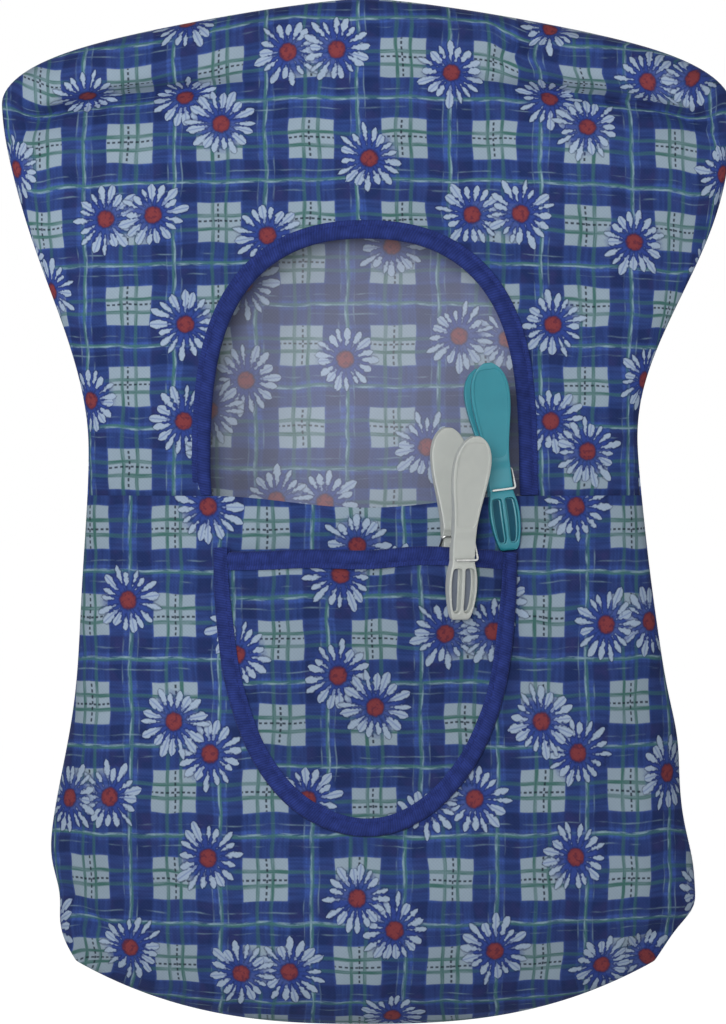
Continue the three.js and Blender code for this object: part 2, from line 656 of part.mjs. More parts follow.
// Two blind windows in the outer face of a jaw, either side of a rib.
function jawWindows(side, grip) {
  const floor = grip / 2 + PEG_NECK_THICKNESS - JAW_WINDOW_DEPTH;
  const [low, high] = [JAW_WINDOW_LOW, PEG_BAR - JAW_WINDOW_TOP_WALL];
  const rib = JAW_RIB / 2;
  return [-1, 1].map((hand) => {
    const outline = [
      [rib, low],
      [JAW_HALF_WIDTH * 0.68 - JAW_WALL, low],
      [JAW_HALF_WIDTH - JAW_WALL, (low + high) / 2],
      [JAW_HALF_WIDTH * 0.92 - JAW_WALL, high - JAW_WINDOW_CORNER],
      [rib + JAW_WINDOW_CORNER, high],
      [rib, high],
    ];
    const shape = new THREE.Shape(outline.map(([x, z]) => new THREE.Vector2(hand * x, z)));
    const window = new THREE.ExtrudeGeometry(shape, { depth: 2 * JAW_WINDOW_DEPTH, bevelEnabled: false });
    window.rotateX(Math.PI / 2);
    return window.translate(0, side > 0 ? floor + 2 * JAW_WINDOW_DEPTH : -floor, 0);
  });
}

// The wire from the front bar, round the coil between the halves, to the rear bar.
function springPath(grip) {
  const side = PEG_NECK_HALF_WIDTH + SPRING_WIRE / 2 + GAP;
  const barY = grip / 2 + PEG_NECK_THICKNESS + SPRING_WIRE / 2 + GAP;
  const barEnd = PEG_NECK_HALF_WIDTH * 0.8;
  const coilEnd = (SPRING_PITCH * SPRING_TURNS) / 2;
  const arm = (hand) => [
    new THREE.Vector3(-hand * barEnd, -hand * barY, PEG_BAR),
    new THREE.Vector3(hand * side, -hand * barY, PEG_BAR),
    new THREE.Vector3(hand * side, -hand * SPRING_COIL_RADIUS, PEG_PIVOT),
    new THREE.Vector3(hand * (coilEnd + SPRING_WIRE), -hand * SPRING_COIL_RADIUS, PEG_PIVOT),
  ];
  const steps = CURL_STEPS * SPRING_TURNS;
  const coil = Array.from({ length: steps + 1 }, (_, i) => {
    const angle = Math.PI + (2 * Math.PI * i) / CURL_STEPS;
    const [y, z] = [SPRING_COIL_RADIUS * Math.cos(angle), SPRING_COIL_RADIUS * Math.sin(angle)];
    return new THREE.Vector3(coilEnd - (SPRING_PITCH * i) / CURL_STEPS, y, PEG_PIVOT + z);
  });
  const bend = SPRING_WIRE;
  return [...rounded(arm(1), bend, 3), ...coil, ...rounded(arm(-1), bend, 3).reverse()];
}

// The least space between turns of the wire that are not neighbours along it.
function leastGap(points, diameter) {
  const fine = points.flatMap((p, i) =>
    i === 0 ? [p] : [0.25, 0.5, 0.75, 1].map((t) => points[i - 1].clone().lerp(p, t)));
  const travelled = [0];
  for (let i = 1; i < fine.length; i++) travelled.push(travelled[i - 1] + fine[i].distanceTo(fine[i - 1]));
  let least = Infinity;
  fine.forEach((a, i) => fine.slice(i + 1).forEach((b, k) => {
    const apart = travelled[i + 1 + k] - travelled[i];
    if (apart > Math.PI * SPRING_COIL_RADIUS) least = Math.min(least, a.distanceTo(b) - diameter);
  }));
  return least;
}

// Finishes

const finish = (color, roughness, metalness = 0) =>
  new THREE.MeshStandardMaterial({ color, roughness, metalness });
const printedCloth = finish(0x3a4c9c, 0.9);
const blueTape = finish(0x2c3c96, 0.8);
const beech = finish(0xc9a06a, 0.55);
const brightWire = finish(0xc4c6c8, 0.3, 1);
const tealPlastic = finish(0x2a93a0, 0.4);
const clearPlastic = finish(0xc9cdc6, 0.35);

function named(name, geometry, material) {
  const mesh = new THREE.Mesh(geometry, material);
  mesh.name = name;
  return mesh;
}

// A peg on an edge: place is {point, normal} on the edge and below is a point further down the cloth.
function peg(name, plastic, place, below, { lean, gripDepth }, grip) {
  const group = new THREE.Group();
  group.name = name;
  const up = place.point.clone().sub(below).normalize();
  const across = up.clone().cross(place.normal).normalize();
  const inward = up.clone().cross(across);
  group.quaternion.setFromRotationMatrix(new THREE.Matrix4().makeBasis(across, inward, up));
  group.rotateY(radians(-lean));
  group.position.copy(place.point);
  group.translateZ(-gripDepth);
  const path = springPath(grip);
  group.add(
    named(`${name}_front_half`, pegHalf(-1, grip), plastic),
    named(`${name}_rear_half`, pegHalf(1, grip), plastic),
    named(`${name}_spring`, tube(path, SPRING_WIRE, 5), brightWire),
  );
  console.log(`${name}_spring least gap to itself ${leastGap(path, SPRING_WIRE).toFixed(2)} mm`);
  return group;
}

function tealPeg() {
  const share = TEAL_PEG.x / halfWidth(LIP_DROP);
  const drop = lipDrop(share);
  const below = onBag(-1, share, drop + TEAL_PEG.gripDepth).point;
  return peg('teal_peg', tealPlastic, onBag(-1, share, drop), below, TEAL_PEG, CLOTH + 2 * JAW_CLEARANCE);
}

function whitePeg() {
  const place = onPocket(WHITE_PEG.x, pocketMouthDrop);
  const below = onPocket(WHITE_PEG.x, pocketMouthDrop + WHITE_PEG.gripDepth).point;
  const grip = CLOTH + 2 * (TAPE_SLACK + TAPE + JAW_CLEARANCE + MOUTH_CURVE);
  return peg('white_peg', clearPlastic, place, below, WHITE_PEG, grip);
}

const pegBag = new THREE.Group();
pegBag.name = 'peg_bag';
pegBag.add(
  named('hook', hook(), brightWire),
  named('hook_washer', hookWasher(), brightWire),
  named('hanger_body', hangerBody(), beech),
  named('back_panel', backPanel(), printedCloth),
  named('front_upper_panel', frontUpperPanel(), printedCloth),
  named('front_lower_panel', frontLowerPanel(), printedCloth),
  named('opening_binding', openingBinding(), blueTape),
  named('pocket_panel', pocketPanel(), printedCloth),
  named('pocket_top_binding', pocketTopBinding(), blueTape),
  named('pocket_edge_binding', pocketEdgeBinding(), blueTape),
  tealPeg(),
  whitePeg(),
);

export default pegBag;
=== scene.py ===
"""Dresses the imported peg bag: printed cotton panels, bound edges, a wire hook and two spring pegs.

Sizes are in metres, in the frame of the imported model: +X to the right of someone facing the bag,
+Y from the front to the back, +Z up, and the origin inside the crown of the hook.
"""

import json
import math
from functools import partial

import bmesh
import bpy
import numpy as np
from bpy.props import FloatProperty, FloatVectorProperty, PointerProperty
from mathutils import Matrix, Vector


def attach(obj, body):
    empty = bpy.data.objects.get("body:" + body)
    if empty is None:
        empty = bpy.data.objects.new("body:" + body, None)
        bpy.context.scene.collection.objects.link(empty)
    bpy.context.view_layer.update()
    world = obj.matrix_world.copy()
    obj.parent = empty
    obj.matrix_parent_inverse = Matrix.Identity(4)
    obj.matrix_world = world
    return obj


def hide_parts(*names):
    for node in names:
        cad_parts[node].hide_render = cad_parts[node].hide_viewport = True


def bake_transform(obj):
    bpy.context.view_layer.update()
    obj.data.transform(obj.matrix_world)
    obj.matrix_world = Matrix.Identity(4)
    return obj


bl_info = {
    "name": "Peg bag",
    "version": (1, 0, 0),
    "blender": (4, 5, 0),
    "location": "View3D > Sidebar > Peg bag",
    "description": "Builds the looks of a cloth peg bag around its packed model",
    "category": "Add Mesh",
}

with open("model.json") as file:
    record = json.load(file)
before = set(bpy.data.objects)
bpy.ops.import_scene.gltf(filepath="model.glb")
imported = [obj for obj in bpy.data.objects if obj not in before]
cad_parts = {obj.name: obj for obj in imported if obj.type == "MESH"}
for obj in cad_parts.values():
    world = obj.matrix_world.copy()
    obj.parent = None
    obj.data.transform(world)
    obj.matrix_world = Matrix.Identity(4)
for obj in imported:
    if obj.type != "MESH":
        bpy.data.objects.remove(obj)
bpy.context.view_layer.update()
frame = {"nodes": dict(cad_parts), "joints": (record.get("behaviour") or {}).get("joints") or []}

MM = 0.001
FRONT, BACK = -1, 1


def linear(code):
    """Linear red, green, blue of an sRGB hex colour."""
    parts = [int(code[i:i + 2], 16) / 255 for i in (1, 3, 5)]
    return [c / 12.92 if c <= 0.04045 else ((c + 0.055) / 1.055) ** 2.4 for c in parts]


def length_property(name, description, millimetres):
    return FloatProperty(
        name=name, description=description, default=millimetres * MM, unit="LENGTH", precision=4)


def colour_property(name, description, code):
    return FloatVectorProperty(
        name=name, description=description, default=linear(code), size=3, subtype="COLOR",
        min=0, max=1)


class PegBagSizes(bpy.types.PropertyGroup):
    """Sizes of the bag, the same as those of its solids"""

    neck_drop: length_property("Neck drop", "From the crown of the hook down to the neck", 52)
    height: length_property("Bag height", "From the neck to the base", 440)
    shoulder: length_property("Shoulder half width", "Half the width at the shoulder tips", 156)
    slope_fall: length_property("Shoulder slope", "Fall of the shoulder line from the neck", 28)
    tip_fall: length_property("Shoulder tip", "Further fall where the tips are rounded", 17)
    waist: length_property("Waist half width", "Half the width at the waist", 118.5)
    waist_drop: length_property("Waist drop", "From the neck down to the waist", 193)
    hem: length_property("Hem half width", "Half the width above the base", 136.5)
    hem_lift: length_property("Hem above base", "Height of the widest place above the base", 64)
    corner: length_property("Base half width", "Half the width at the base corners", 124)
    corner_lift: length_property("Base corner lift", "Rise of the base towards its corners", 27)
    lip_drop: length_property("Lip drop", "From the neck down to the lip of the opening", 213)
    lip_sag: length_property("Lip sag", "How far the lip hangs in the middle", 5)
    opening: length_property("Opening half width", "Half the width of the opening", 66.5)
    opening_height: length_property("Opening height", "Height of the opening above its lip", 110)
    pocket: length_property("Pocket half width", "Half the width of the pocket", 64)
    pocket_height: length_property("Pocket height", "From the mouth to the base of the pocket", 120)
    pocket_drop: length_property("Pocket drop", "From the neck down to the pocket's mouth", 237.5)
    pocket_gape: length_property("Pocket gape", "How far the mouth stands off the front", 18)
    tape_width: length_property("Tape width", "Width of the binding tape that shows", 7.6)
    cloth: length_property("Cloth thickness", "Thickness of the cotton", 0.7)
    stitch: length_property("Stitch length", "Length of a stitch in the bindings", 2.3)


class PegBagColours(bpy.types.PropertyGroup):
    """Colours of the cloth, the tape and the pegs"""

    ground: colour_property("Ground blue", "Main blue of the plaid", "#3e5ba5")
    deep: colour_property("Deep blue", "Blue where dark bands cross", "#141f46")
    dusk: colour_property("Dusk", "Purple cast in the dark bands", "#34376a")
    check: colour_property("Check", "Pale squares of the plaid", "#92a4b4")
    green: colour_property("Green", "Fine lines over the squares", "#3a6862")
    mint: colour_property("Mint", "Broad pale lines between the squares", "#8ba8b6")
    petal: colour_property("Petal", "Petals of the daisies", "#9fb1c8")
    eye: colour_property("Daisy eye", "Middles of the daisies", "#823c41")
    # The wrong side's cast is partly the cloth's own paleness and partly painted light through the thin
    # cotton.
    reverse: colour_property("Wrong side", "Cast of the cloth's wrong side", "#cdcfd6")
    tape: colour_property("Tape", "Binding tape", "#293777")
    teal: colour_property("Teal plastic", "Moulded teal peg", "#2a8a9a")
    clear: colour_property("Clear plastic", "Moulded milky peg", "#c8ccc7")


def sizes():
    return bpy.context.scene.peg_bag_sizes


def colours():
    return bpy.context.scene.peg_bag_colours


# Small helpers on arrays

def mix(a, b, t):
    return a + (b - a) * t


def ease(t):
    t = np.clip(t, 0, 1)
    return t * t * (3 - 2 * t)


def rounded_edge(t):
    return np.sqrt(1 - (1 - np.clip(t, 0, 1)) ** 2)


def hump(t):
    return np.exp(-np.square(t))


def unit(vectors):
    return vectors / np.linalg.norm(vectors, axis=-1, keepdims=True)


def edge_steps(count):
    """Steps from -1 to 1, closer together at both ends."""
    return np.sin(np.linspace(-1, 1, count + 1) * math.pi / 2)


def distances(points):
    """How far along a line of points each of them lies."""
    return np.concatenate([[0], np.cumsum(np.linalg.norm(np.diff(points, axis=0), axis=1))])


def read_line(at, along, values):
    """Values of a line, read at distances along it."""
    return np.stack([np.interp(at, along, column) for column in values.T], -1)


def even_line(points, count):
    """The same line in even steps."""
    along = distances(points)
    return read_line(np.linspace(0, along[-1], count + 1), along, points)


def through(stations, at):
    """A smooth curve through (position, value) stations, level before the first and after the last."""
    place, value = np.array(stations, float).T
    slope = np.zeros(len(place))
    slope[1:-1] = (value[2:] - value[:-2]) / (place[2:] - place[:-2])
    at = np.clip(at, place[0], place[-1])
    i = np.clip(np.searchsorted(place, at, side="right") - 1, 0, len(place) - 2)
    span = place[i + 1] - place[i]
    t = (at - place[i]) / span
    rise = value[i] * (1 + 2 * t) * (1 - t) ** 2 + slope[i] * span * t * (1 - t) ** 2
    return rise + value[i + 1] * t * t * (3 - 2 * t) - slope[i + 1] * span * t * t * (1 - t)


# The bag's surface: x across, drop down from the neck

SEAM_HALF_GAP = 0.3 * MM
SHOULDER_ROUND = 10 * MM
BASE_ROUND = 50 * MM
LIP_OVERLAP = 10 * MM
# Powers of the curves of the shoulder line, its tips and the base
SLOPE_POWER, TIP_POWER, BASE_POWER = 1.35, 8, 2.6
# Powers of the level section at the shoulders and from the chest down
SHOULDER_SECTION = (8, 0.5)
BODY_SECTION = (2.2, 0.6)
# Depth of the front and of the back at the shoulder, the chest, the lip and the belly
STATION_DROPS = (45 * MM, 120 * MM, 213 * MM, 345 * MM)
FRONT_DEPTHS = (10 * MM, 18 * MM, 22 * MM, 34 * MM)
BACK_DEPTHS = (10 * MM, 17 * MM, 20 * MM, 26 * MM)


def half_width(drop):
    s = sizes()
    tip, hem = s.slope_fall + s.tip_fall, s.height - s.hem_lift
    corner = s.height - s.corner_lift
    upper = mix(s.shoulder, s.waist, ease((drop - tip) / (s.waist_drop - tip)))
    lower = mix(s.waist, s.hem, ease((drop - s.waist_drop) / (hem - s.waist_drop)))
    base = mix(s.hem, s.corner, np.clip((drop - hem) / (corner - hem), 0, 1) ** 2)
    return np.where(drop <= s.waist_drop, upper, np.where(drop <= hem, lower, base))


def shoulder_drop(share):
    s = sizes()
    share = np.abs(share)
    tip = 1 - np.sqrt(np.maximum(0, 1 - share ** TIP_POWER))
    return s.slope_fall * share ** SLOPE_POWER + s.tip_fall * tip


def base_drop(share):
    return sizes().height - sizes().corner_lift * np.abs(share) ** BASE_POWER


def lip_drop(x):
    s = sizes()
    across = np.clip(np.abs(x) / s.opening, 0, 1)
    return s.lip_drop + s.lip_sag * np.cos(across * math.pi / 2) ** 2


# A crease runs out past its ends, by this share of its length, and tapers over this share.
CREASE_PASS, CREASE_TAPER = 0.25, 0.4


def crease(x, drop, start, end, width, height):
    """A soft ridge, or a valley if height is negative, along a line from start to end."""
    (x0, d0), (x1, d1) = start, end
    length = math.hypot(x1 - x0, d1 - d0)
    along = ((x - x0) * (x1 - x0) + (drop - d0) * (d1 - d0)) / length ** 2
    across = ((x - x0) * (d1 - d0) - (drop - d0) * (x1 - x0)) / length
    ends = [(along + CREASE_PASS) / CREASE_TAPER, (1 + CREASE_PASS - along) / CREASE_TAPER]
    return height * ease(ends[0]) * ease(ends[1]) * hump(across / width)


# Folds seen in the front: start and end as (x, drop), then width and height, in millimetres
FRONT_FOLDS = (
    ((-152, 60), (-84, 58), 8, 1.6),
    ((70, 62), (150, 60), 8, 2.0),
    ((56, 26), (84, 12), 2.6, -3.6),
    ((66, 30), (92, 15), 4, 1.6),
    ((-128, 300), (-104, 392), 9, 1.6),
    ((-138, 380), (-112, 399), 3.5, -6.5),
    ((-135, 394), (-104, 414), 6, 2.4),
    ((-122, 408), (-96, 424), 4, -2.4),
    ((140, 391), (114, 407), 3.5, -6.0),
    ((128, 320), (112, 398), 10, 1.8),
    ((-60, 392), (70, 400), 14, 1.2),
)
BACK_FOLDS = (
    ((-140, 46), (-60, 66), 7, 1.6),
    ((140, 46), (60, 66), 7, 1.6),
    ((-90, 220), (-30, 330), 14, 1.4),
    ((95, 240), (40, 350), 14, -1.4),
    ((-130, 380), (-105, 405), 6, -2.4),
    ((130, 380), (105, 405), 6, -2.4),
)


# The hanger behind the cloth: height in the middle and at its ends, which stop short of the shoulder
# tips, and the room above it
HANGER_TALL = (26 * MM, 15 * MM)
HANGER_SHORT = 17 * MM
HANGER_ROOM = 2.5 * MM


def hanger_low_drop(x):
    """Where the hanger's lower edge lies behind the cloth."""
    s = sizes()
    tall = mix(*HANGER_TALL, ease(np.abs(x) / (s.shoulder - HANGER_SHORT)))
    return shoulder_drop(x / s.shoulder) + HANGER_ROOM + tall


# Soft wrinkles all over the cloth: direction in radians, pitch and height
WRINKLES = ((0.5, 6.5 * MM, 0.4 * MM), (2.2, 5.2 * MM, 0.32 * MM), (1.4, 9.0 * MM, 0.5 * MM))
# How far a wrinkle bends, and over how many times its pitch it bends and breaks off
WRINKLE_BEND, BEND_PITCH, BREAK_PITCH = 1.4, 2.7, 4.1
# The ledge that the hanger makes in the cloth runs out level past its ends.
LEDGE_HALF = 139 * MM
LEDGE_HIGH, LEDGE_ABOVE, LEDGE_WIDTH = 1.6 * MM, 6 * MM, 7 * MM
# How far the cloth falls in below the hanger and over what drop: plain, and at the left and right ends
# of the front
PLAIN_FALL, PLAIN_RUN = 2.5 * MM, 8 * MM
FRONT_FALL, LEFT_FALL, RIGHT_FALL = 2.8 * MM, 7.0 * MM, 7.5 * MM
LEFT_RUN, RIGHT_RUN = 6 * MM, 9 * MM
# The fall starts this share of its run above the hanger's lower edge.
FALL_LEAD = 0.1
# The ends of the front grow in from this share of the half width over this share, and die out this
# far from the tips.
END_FROM, END_OVER, END_FADE = 0.2, 0.4, 24 * MM
# The fold under the ends of the hanger: its depth, its place below the hanger and its width. Further
# down the cloth comes out again.
FOLD_DEPTH, FOLD_BELOW, FOLD_WIDTH = 4.0 * MM, 6.5 * MM, 2.6 * MM
RETURN_BELOW, RETURN_LENGTH = 7 * MM, 13 * MM
# Puckers in millimetres: height, pitch, how much the pitch wanders and over what length, and how far
# from the seam they lie and spread
SIDE_PUCKERS = (1.1, 2.6, 2.6, 19, 7, 8)
BASE_PUCKERS = (1.0, 3.9, 2.1, 21, 9, 11)
LIP_PUCKERS = (0.22, 2.3, 1.7, 15, 0, 6)
# The puckers of the sides come and go down the seam over this length.
SIDE_BREAK = 29 * MM
# Loose cotton swells in two slow waves: height, and the length of each across and down
SLACK = 0.8 * MM
SLACK_WAVES = ((19 * MM, 47 * MM), (-67 * MM, 31 * MM))


def puckers(along, away, height, pitch, wander, length, middle, spread):
    """Short uneven folds across a seam."""
    wave = np.sin(along / (pitch * MM) + wander * np.sin(along / (length * MM)))
    return height * MM * wave * hump((away - middle * MM) / (spread * MM))


def folds(side, x, drop):
    """How far the cloth lies above its plain shape."""
    s = sizes()
    lift = np.zeros(np.broadcast(x, drop).shape)
    for start, end, width, height in FRONT_FOLDS if side == FRONT else BACK_FOLDS:
        ends = [(a * MM, d * MM) for a, d in (start, end)]
        lift += crease(x, drop, *ends, width * MM, height * MM)
    # Cloth stands out over the hanger and falls in below it, most at the ends of the front.
    below = drop - hanger_low_drop(np.clip(x, -LEDGE_HALF, LEDGE_HALF))
    outer = ease((np.abs(x) / s.shoulder - END_FROM) / END_OVER)
    outer = outer * ease((s.shoulder - np.abs(x)) / END_FADE)
    fall, run = PLAIN_FALL, PLAIN_RUN
    if side == FRONT:
        fall = mix(FRONT_FALL, np.where(x > 0, RIGHT_FALL, LEFT_FALL), outer)
        run = mix(PLAIN_RUN, np.where(x > 0, RIGHT_RUN, LEFT_RUN), outer)
        lift -= FOLD_DEPTH * outer * hump((below - FOLD_BELOW) / FOLD_WIDTH)
    lift += LEDGE_HIGH * hump((below + LEDGE_ABOVE) / LEDGE_WIDTH)
    back_out = np.exp(-np.maximum(0, below - RETURN_BELOW) / RETURN_LENGTH)
    lift -= fall * ease(below / run + FALL_LEAD) * back_out
    # Seams pull the cloth into short puckers.
    from_seam = half_width(drop) - np.abs(x)
    from_base = base_drop(x / half_width(drop)) - drop
    lift += puckers(drop, from_seam, *SIDE_PUCKERS) * np.sin(drop / SIDE_BREAK + 1)
    lift += puckers(x, from_base, *BASE_PUCKERS)
    lift += puckers(x, np.abs(drop - s.lip_drop), *LIP_PUCKERS) * (np.abs(x) > s.opening)
    # Loose cotton is never quite flat.
    slow = [np.sin(x / across + drop / down) for across, down in SLACK_WAVES]
    lift += SLACK * (slow[0] * slow[1])
    for way, pitch, height in WRINKLES:
        along = x * math.cos(way) + drop * math.sin(way)
        across = drop * math.cos(way) - x * math.sin(way)
        bent = along / pitch + WRINKLE_BEND * np.sin(across / (BEND_PITCH * pitch) + 3 * way)
        lift += height * np.sin(bent) * np.sin(across / (BREAK_PITCH * pitch) + 5 * way)
    return lift


# The sides hang unevenly: which side, drop, spread and how far out, in millimetres
SIDE_SHIFTS = (
    (1, 95, 40, 3.6), (1, 172, 35, -2.4), (1, 317, 18, 1.7), (1, 377, 20, 4.5), (1, 390, 8, 3.0),
    (-1, 75, 30, -1.1), (-1, 305, 48, -5.3), (-1, 384, 13, -4.5),
)


def side_shift(share, drop):
    shift = np.zeros(np.broadcast(share, drop).shape)
    for hand, middle, spread, out in SIDE_SHIFTS:
        shift += hand * out * MM * hump((drop - middle * MM) / (spread * MM)) * (hand * share > 0)
    return shift * np.abs(share) ** 3


# The stem of the hook parts the neck seam: how far, and over what width and drop
NECK_PARTING, NECK_WIDE, NECK_DEEP = 2.2 * MM, 3 * MM, 7 * MM
# Folds die out towards the seams, where this many times the swell of the cloth, 0 to 1, is below 1.
FOLD_HOLD = 1.6


def bag_points(side, share, drop):
    """Points on the middle of the cloth."""
    s = sizes()
    tip = s.slope_fall + s.tip_fall
    body = ease((drop - tip) / (STATION_DROPS[1] - tip))
    round_power, fall_power = (mix(*pair, body) for pair in zip(SHOULDER_SECTION, BODY_SECTION))
    across = np.maximum(0, 1 - np.abs(share) ** round_power) ** fall_power
    from_top = drop - shoulder_drop(share)
    top = rounded_edge(from_top / SHOULDER_ROUND)
    base = rounded_edge((base_drop(share) - drop) / BASE_ROUND)
    depths = FRONT_DEPTHS if side == FRONT else BACK_DEPTHS
    hold = across * top * base
    x = half_width(drop) * share + side_shift(share, drop)
    out = through(list(zip(STATION_DROPS, depths)), drop) * hold
    out = out + folds(side, half_width(drop) * share, drop) * np.minimum(1, FOLD_HOLD * hold)
    out = out + NECK_PARTING * hump(x / NECK_WIDE) * hump(from_top / NECK_DEEP)
    return np.stack([x, side * (SEAM_HALF_GAP + out), -s.neck_drop - drop], -1)


SLOPE_STEP = 0.3 * MM


def surface_normals(at, x, drop):
    """Outward normals of a surface that a function of x and drop gives."""
    across = at(x + SLOPE_STEP, drop) - at(x - SLOPE_STEP, drop)
    upward = at(x, drop - SLOPE_STEP) - at(x, drop + SLOPE_STEP)
    return unit(np.cross(across, upward))


def on_front(x, drop, lift):
    """Points lifted off the front, for x and drop away from the seams."""

    def at(px, pd):
        return bag_points(FRONT, px / half_width(pd), pd)

    return at(x, drop) + surface_normals(at, x, drop) * lift[..., None]


def grid_normals(points):
    """Normals of a grid whose rows run down and whose columns run to the right, seen from outside."""
    down, right = np.gradient(points, axis=0), np.gradient(points, axis=1)
    return unit(np.cross(down, right))


# How far along the cloth a place lies, so that the print follows the cloth and not the view

CLOTH_STEPS = 480


def cloth_map(side):
    """Shares, shares down, and the distances along the cloth at each pair of them."""
    share = edge_steps(CLOTH_STEPS)
    down = (1 - np.cos(np.linspace(0, 1, CLOTH_STEPS + 1) * math.pi)) / 2
    drop = mix(shoulder_drop(share)[None], base_drop(share)[None], down[:, None])
    points = bag_points(side, np.broadcast_to(share, drop.shape), drop)
    step_across = np.linalg.norm(np.diff(points, axis=1), axis=2)
    step_down = np.linalg.norm(np.diff(points, axis=0), axis=2)
    across = np.pad(np.cumsum(step_across, 1), ((0, 0), (1, 0)))
    across -= across[:, CLOTH_STEPS // 2][:, None]
    along = np.pad(np.cumsum(step_down, 0), ((1, 0), (0, 0)))
    for j in range(CLOTH_STEPS + 1):
        along[:, j] += sizes().lip_drop - np.interp(sizes().lip_drop, drop[:, j], along[:, j])
    return share, down, across, along


def cloth_places(side, share, drop):
    """Distances along the cloth, across and down, at any share and drop."""
    shares, downs, across, along = cloth_map(side)
    down = (drop - shoulder_drop(share)) / (base_drop(share) - shoulder_drop(share))
    column = np.clip(np.searchsorted(shares, share) - 1, 0, CLOTH_STEPS - 1)
    row = np.clip(np.searchsorted(downs, down) - 1, 0, CLOTH_STEPS - 1)
    s = np.clip((share - shares[column]) / (shares[column + 1] - shares[column]), 0, 1)
    d = np.clip((down - downs[row]) / (downs[row + 1] - downs[row]), 0, 1)

    def read(values):
        upper = mix(values[row, column], values[row, column + 1], s)
        lower = mix(values[row + 1, column], values[row + 1, column + 1], s)
        return mix(upper, lower, d)

    return np.stack([read(across), read(along), np.zeros(share.shape)], -1)


# Meshes

def select_only(*objects):
    if bpy.context.object and bpy.context.object.mode != "OBJECT":
        bpy.ops.object.mode_set(mode="OBJECT")
    bpy.ops.object.select_all(action="DESELECT")
    for obj in objects:
        obj.select_set(True)
    bpy.context.view_layer.objects.active = objects[0] if objects else None


def apply_modifier(obj, kind, **settings):
    select_only(obj)
    modifier = obj.modifiers.new(kind.title(), kind)
    for key, value in settings.items():
        setattr(modifier, key, value)
    bpy.ops.object.modifier_apply(modifier=modifier.name)


def mesh_object(name, points, faces, places=None):
    mesh = bpy.data.meshes.new(name)
    mesh.from_pydata(points.reshape(-1, 3).tolist(), [], faces)
    if places is not None:
        attribute = mesh.attributes.new("cloth", "FLOAT_VECTOR", "POINT")
        attribute.data.foreach_set("vector", places.astype(np.float32).ravel())
    obj = bpy.data.objects.new(name, mesh)
    bpy.context.scene.collection.objects.link(obj)
    return obj


RIM_SHARE = 0.3
RIM_ANGLE = math.radians(60)


def sheet_object(name, points, places, thickness, finishes):
    """A sheet through a grid of points, with a thickness, rounded rims and a finish for each face."""
    rows, columns = points.shape[:2]
    corner = np.arange(rows * columns).reshape(rows, columns)
    faces = np.stack([corner[:-1, :-1], corner[1:, :-1], corner[1:, 1:], corner[:-1, 1:]], -1)
    obj = mesh_object(name, points, faces.reshape(-1, 4).tolist(), places)
    for material in finishes:
        obj.data.materials.append(material)
    second = len(finishes) - 1
    apply_modifier(
        obj, "SOLIDIFY", thickness=thickness, offset=0, material_offset=second, use_even_offset=True)
    apply_modifier(
        obj, "BEVEL", width=RIM_SHARE * thickness, segments=2, limit_method="ANGLE",
        angle_limit=RIM_ANGLE)
    smooth(obj)
    return obj


def smooth(obj, degrees=50):
    select_only(obj)
    bpy.ops.object.shade_smooth_by_angle(angle=math.radians(degrees))


def dress(obj, body, slot, *nodes):
    """The piece moves with a body and stands for solids. Its slot is not used."""
    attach(obj, body)
    if nodes:
        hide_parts(*nodes)


# Materials

def node(tree, kind, *inputs, named=(), **settings):
    """Adds a node. Its operation follows its kind, and a node as an input means its first output."""
    kind, *operation = kind.split()
    made = tree.nodes.new("ShaderNode" + kind)
    for key, value in [*zip(["operation"], operation), *settings.items()]:
        setattr(made, key, value)
    for key, value in [*enumerate(inputs), *dict(named).items()]:
        if isinstance(value, bpy.types.Node):
            value = value.outputs[0]
        if isinstance(value, bpy.types.NodeSocket):
            tree.links.new(value, made.inputs[key])
        else:
            made.inputs[key].default_value = value
    return made


def finish(name, paint, *details):
    """The material of a name, which a function paints when it is first asked for."""
    found = bpy.data.materials.get(name)
    if found:
        return found
    material = bpy.data.materials.new(name)
    material.use_nodes = True
    material.node_tree.nodes.clear()
    add = partial(node, material.node_tree)
    add("OutputMaterial", paint(add, *details))
    return material


def opaque(colour):
    """Four parts of a colour, from a hex code or from its linear parts. A socket stays as it is."""
    if isinstance(colour, bpy.types.NodeSocket):
        return colour
    return (*(linear(colour) if isinstance(colour, str) else colour), 1)


def coats(add, colour, *layers):
    """Lays colours over a colour. Each layer is a colour and how much of it shows."""
    for over, amount in layers:
        both = {0: amount, 6: opaque(colour), 7: opaque(over)}
        colour = add("Mix", named=both, data_type="RGBA").outputs[2]
    return colour


# Plaid, in millimetres: across and down
REPEAT = (39.6, 35.5)
SQUARE = (19.4, 17.3)
SQUARE_SOFT = 0.7
# From the middle of a square to its green lines and its dashes, from its edge to the dark stripe, from
# the middle between squares to the mint and the chalk line, and from there to the broken lines
GREEN_AWAY = (3.1, 2.9)
DASH_AWAY = -0.6
STRIPE_AWAY = 3.7
MINT_AWAY = 0.3
BROKEN_AWAY = (3.2, 4.2)
# Half the width of each line, and the width of its soft edge
LINES = {
    "stripe": (3.2, 1.4), "green": (0.8, 0.7), "dash": (0.42, 0.5), "mint": (0.7, 0.9),
    "chalk": (0.45, 0.7), "broken": (0.3, 0.6),
}
# How much of a dark stripe shows, of two where they cross, and of the thin lines
STRIPE_STRENGTH, CROSSING_STRENGTH = 0.52, 0.4
MINT_STRENGTH, BROKEN_STRENGTH = 0.85, 0.42
# Dry brush marks are drawn out along a line: their pitch across it as a share of that along it
STROKE_SHARE, STREAK_SHARE = 0.1, 0.22
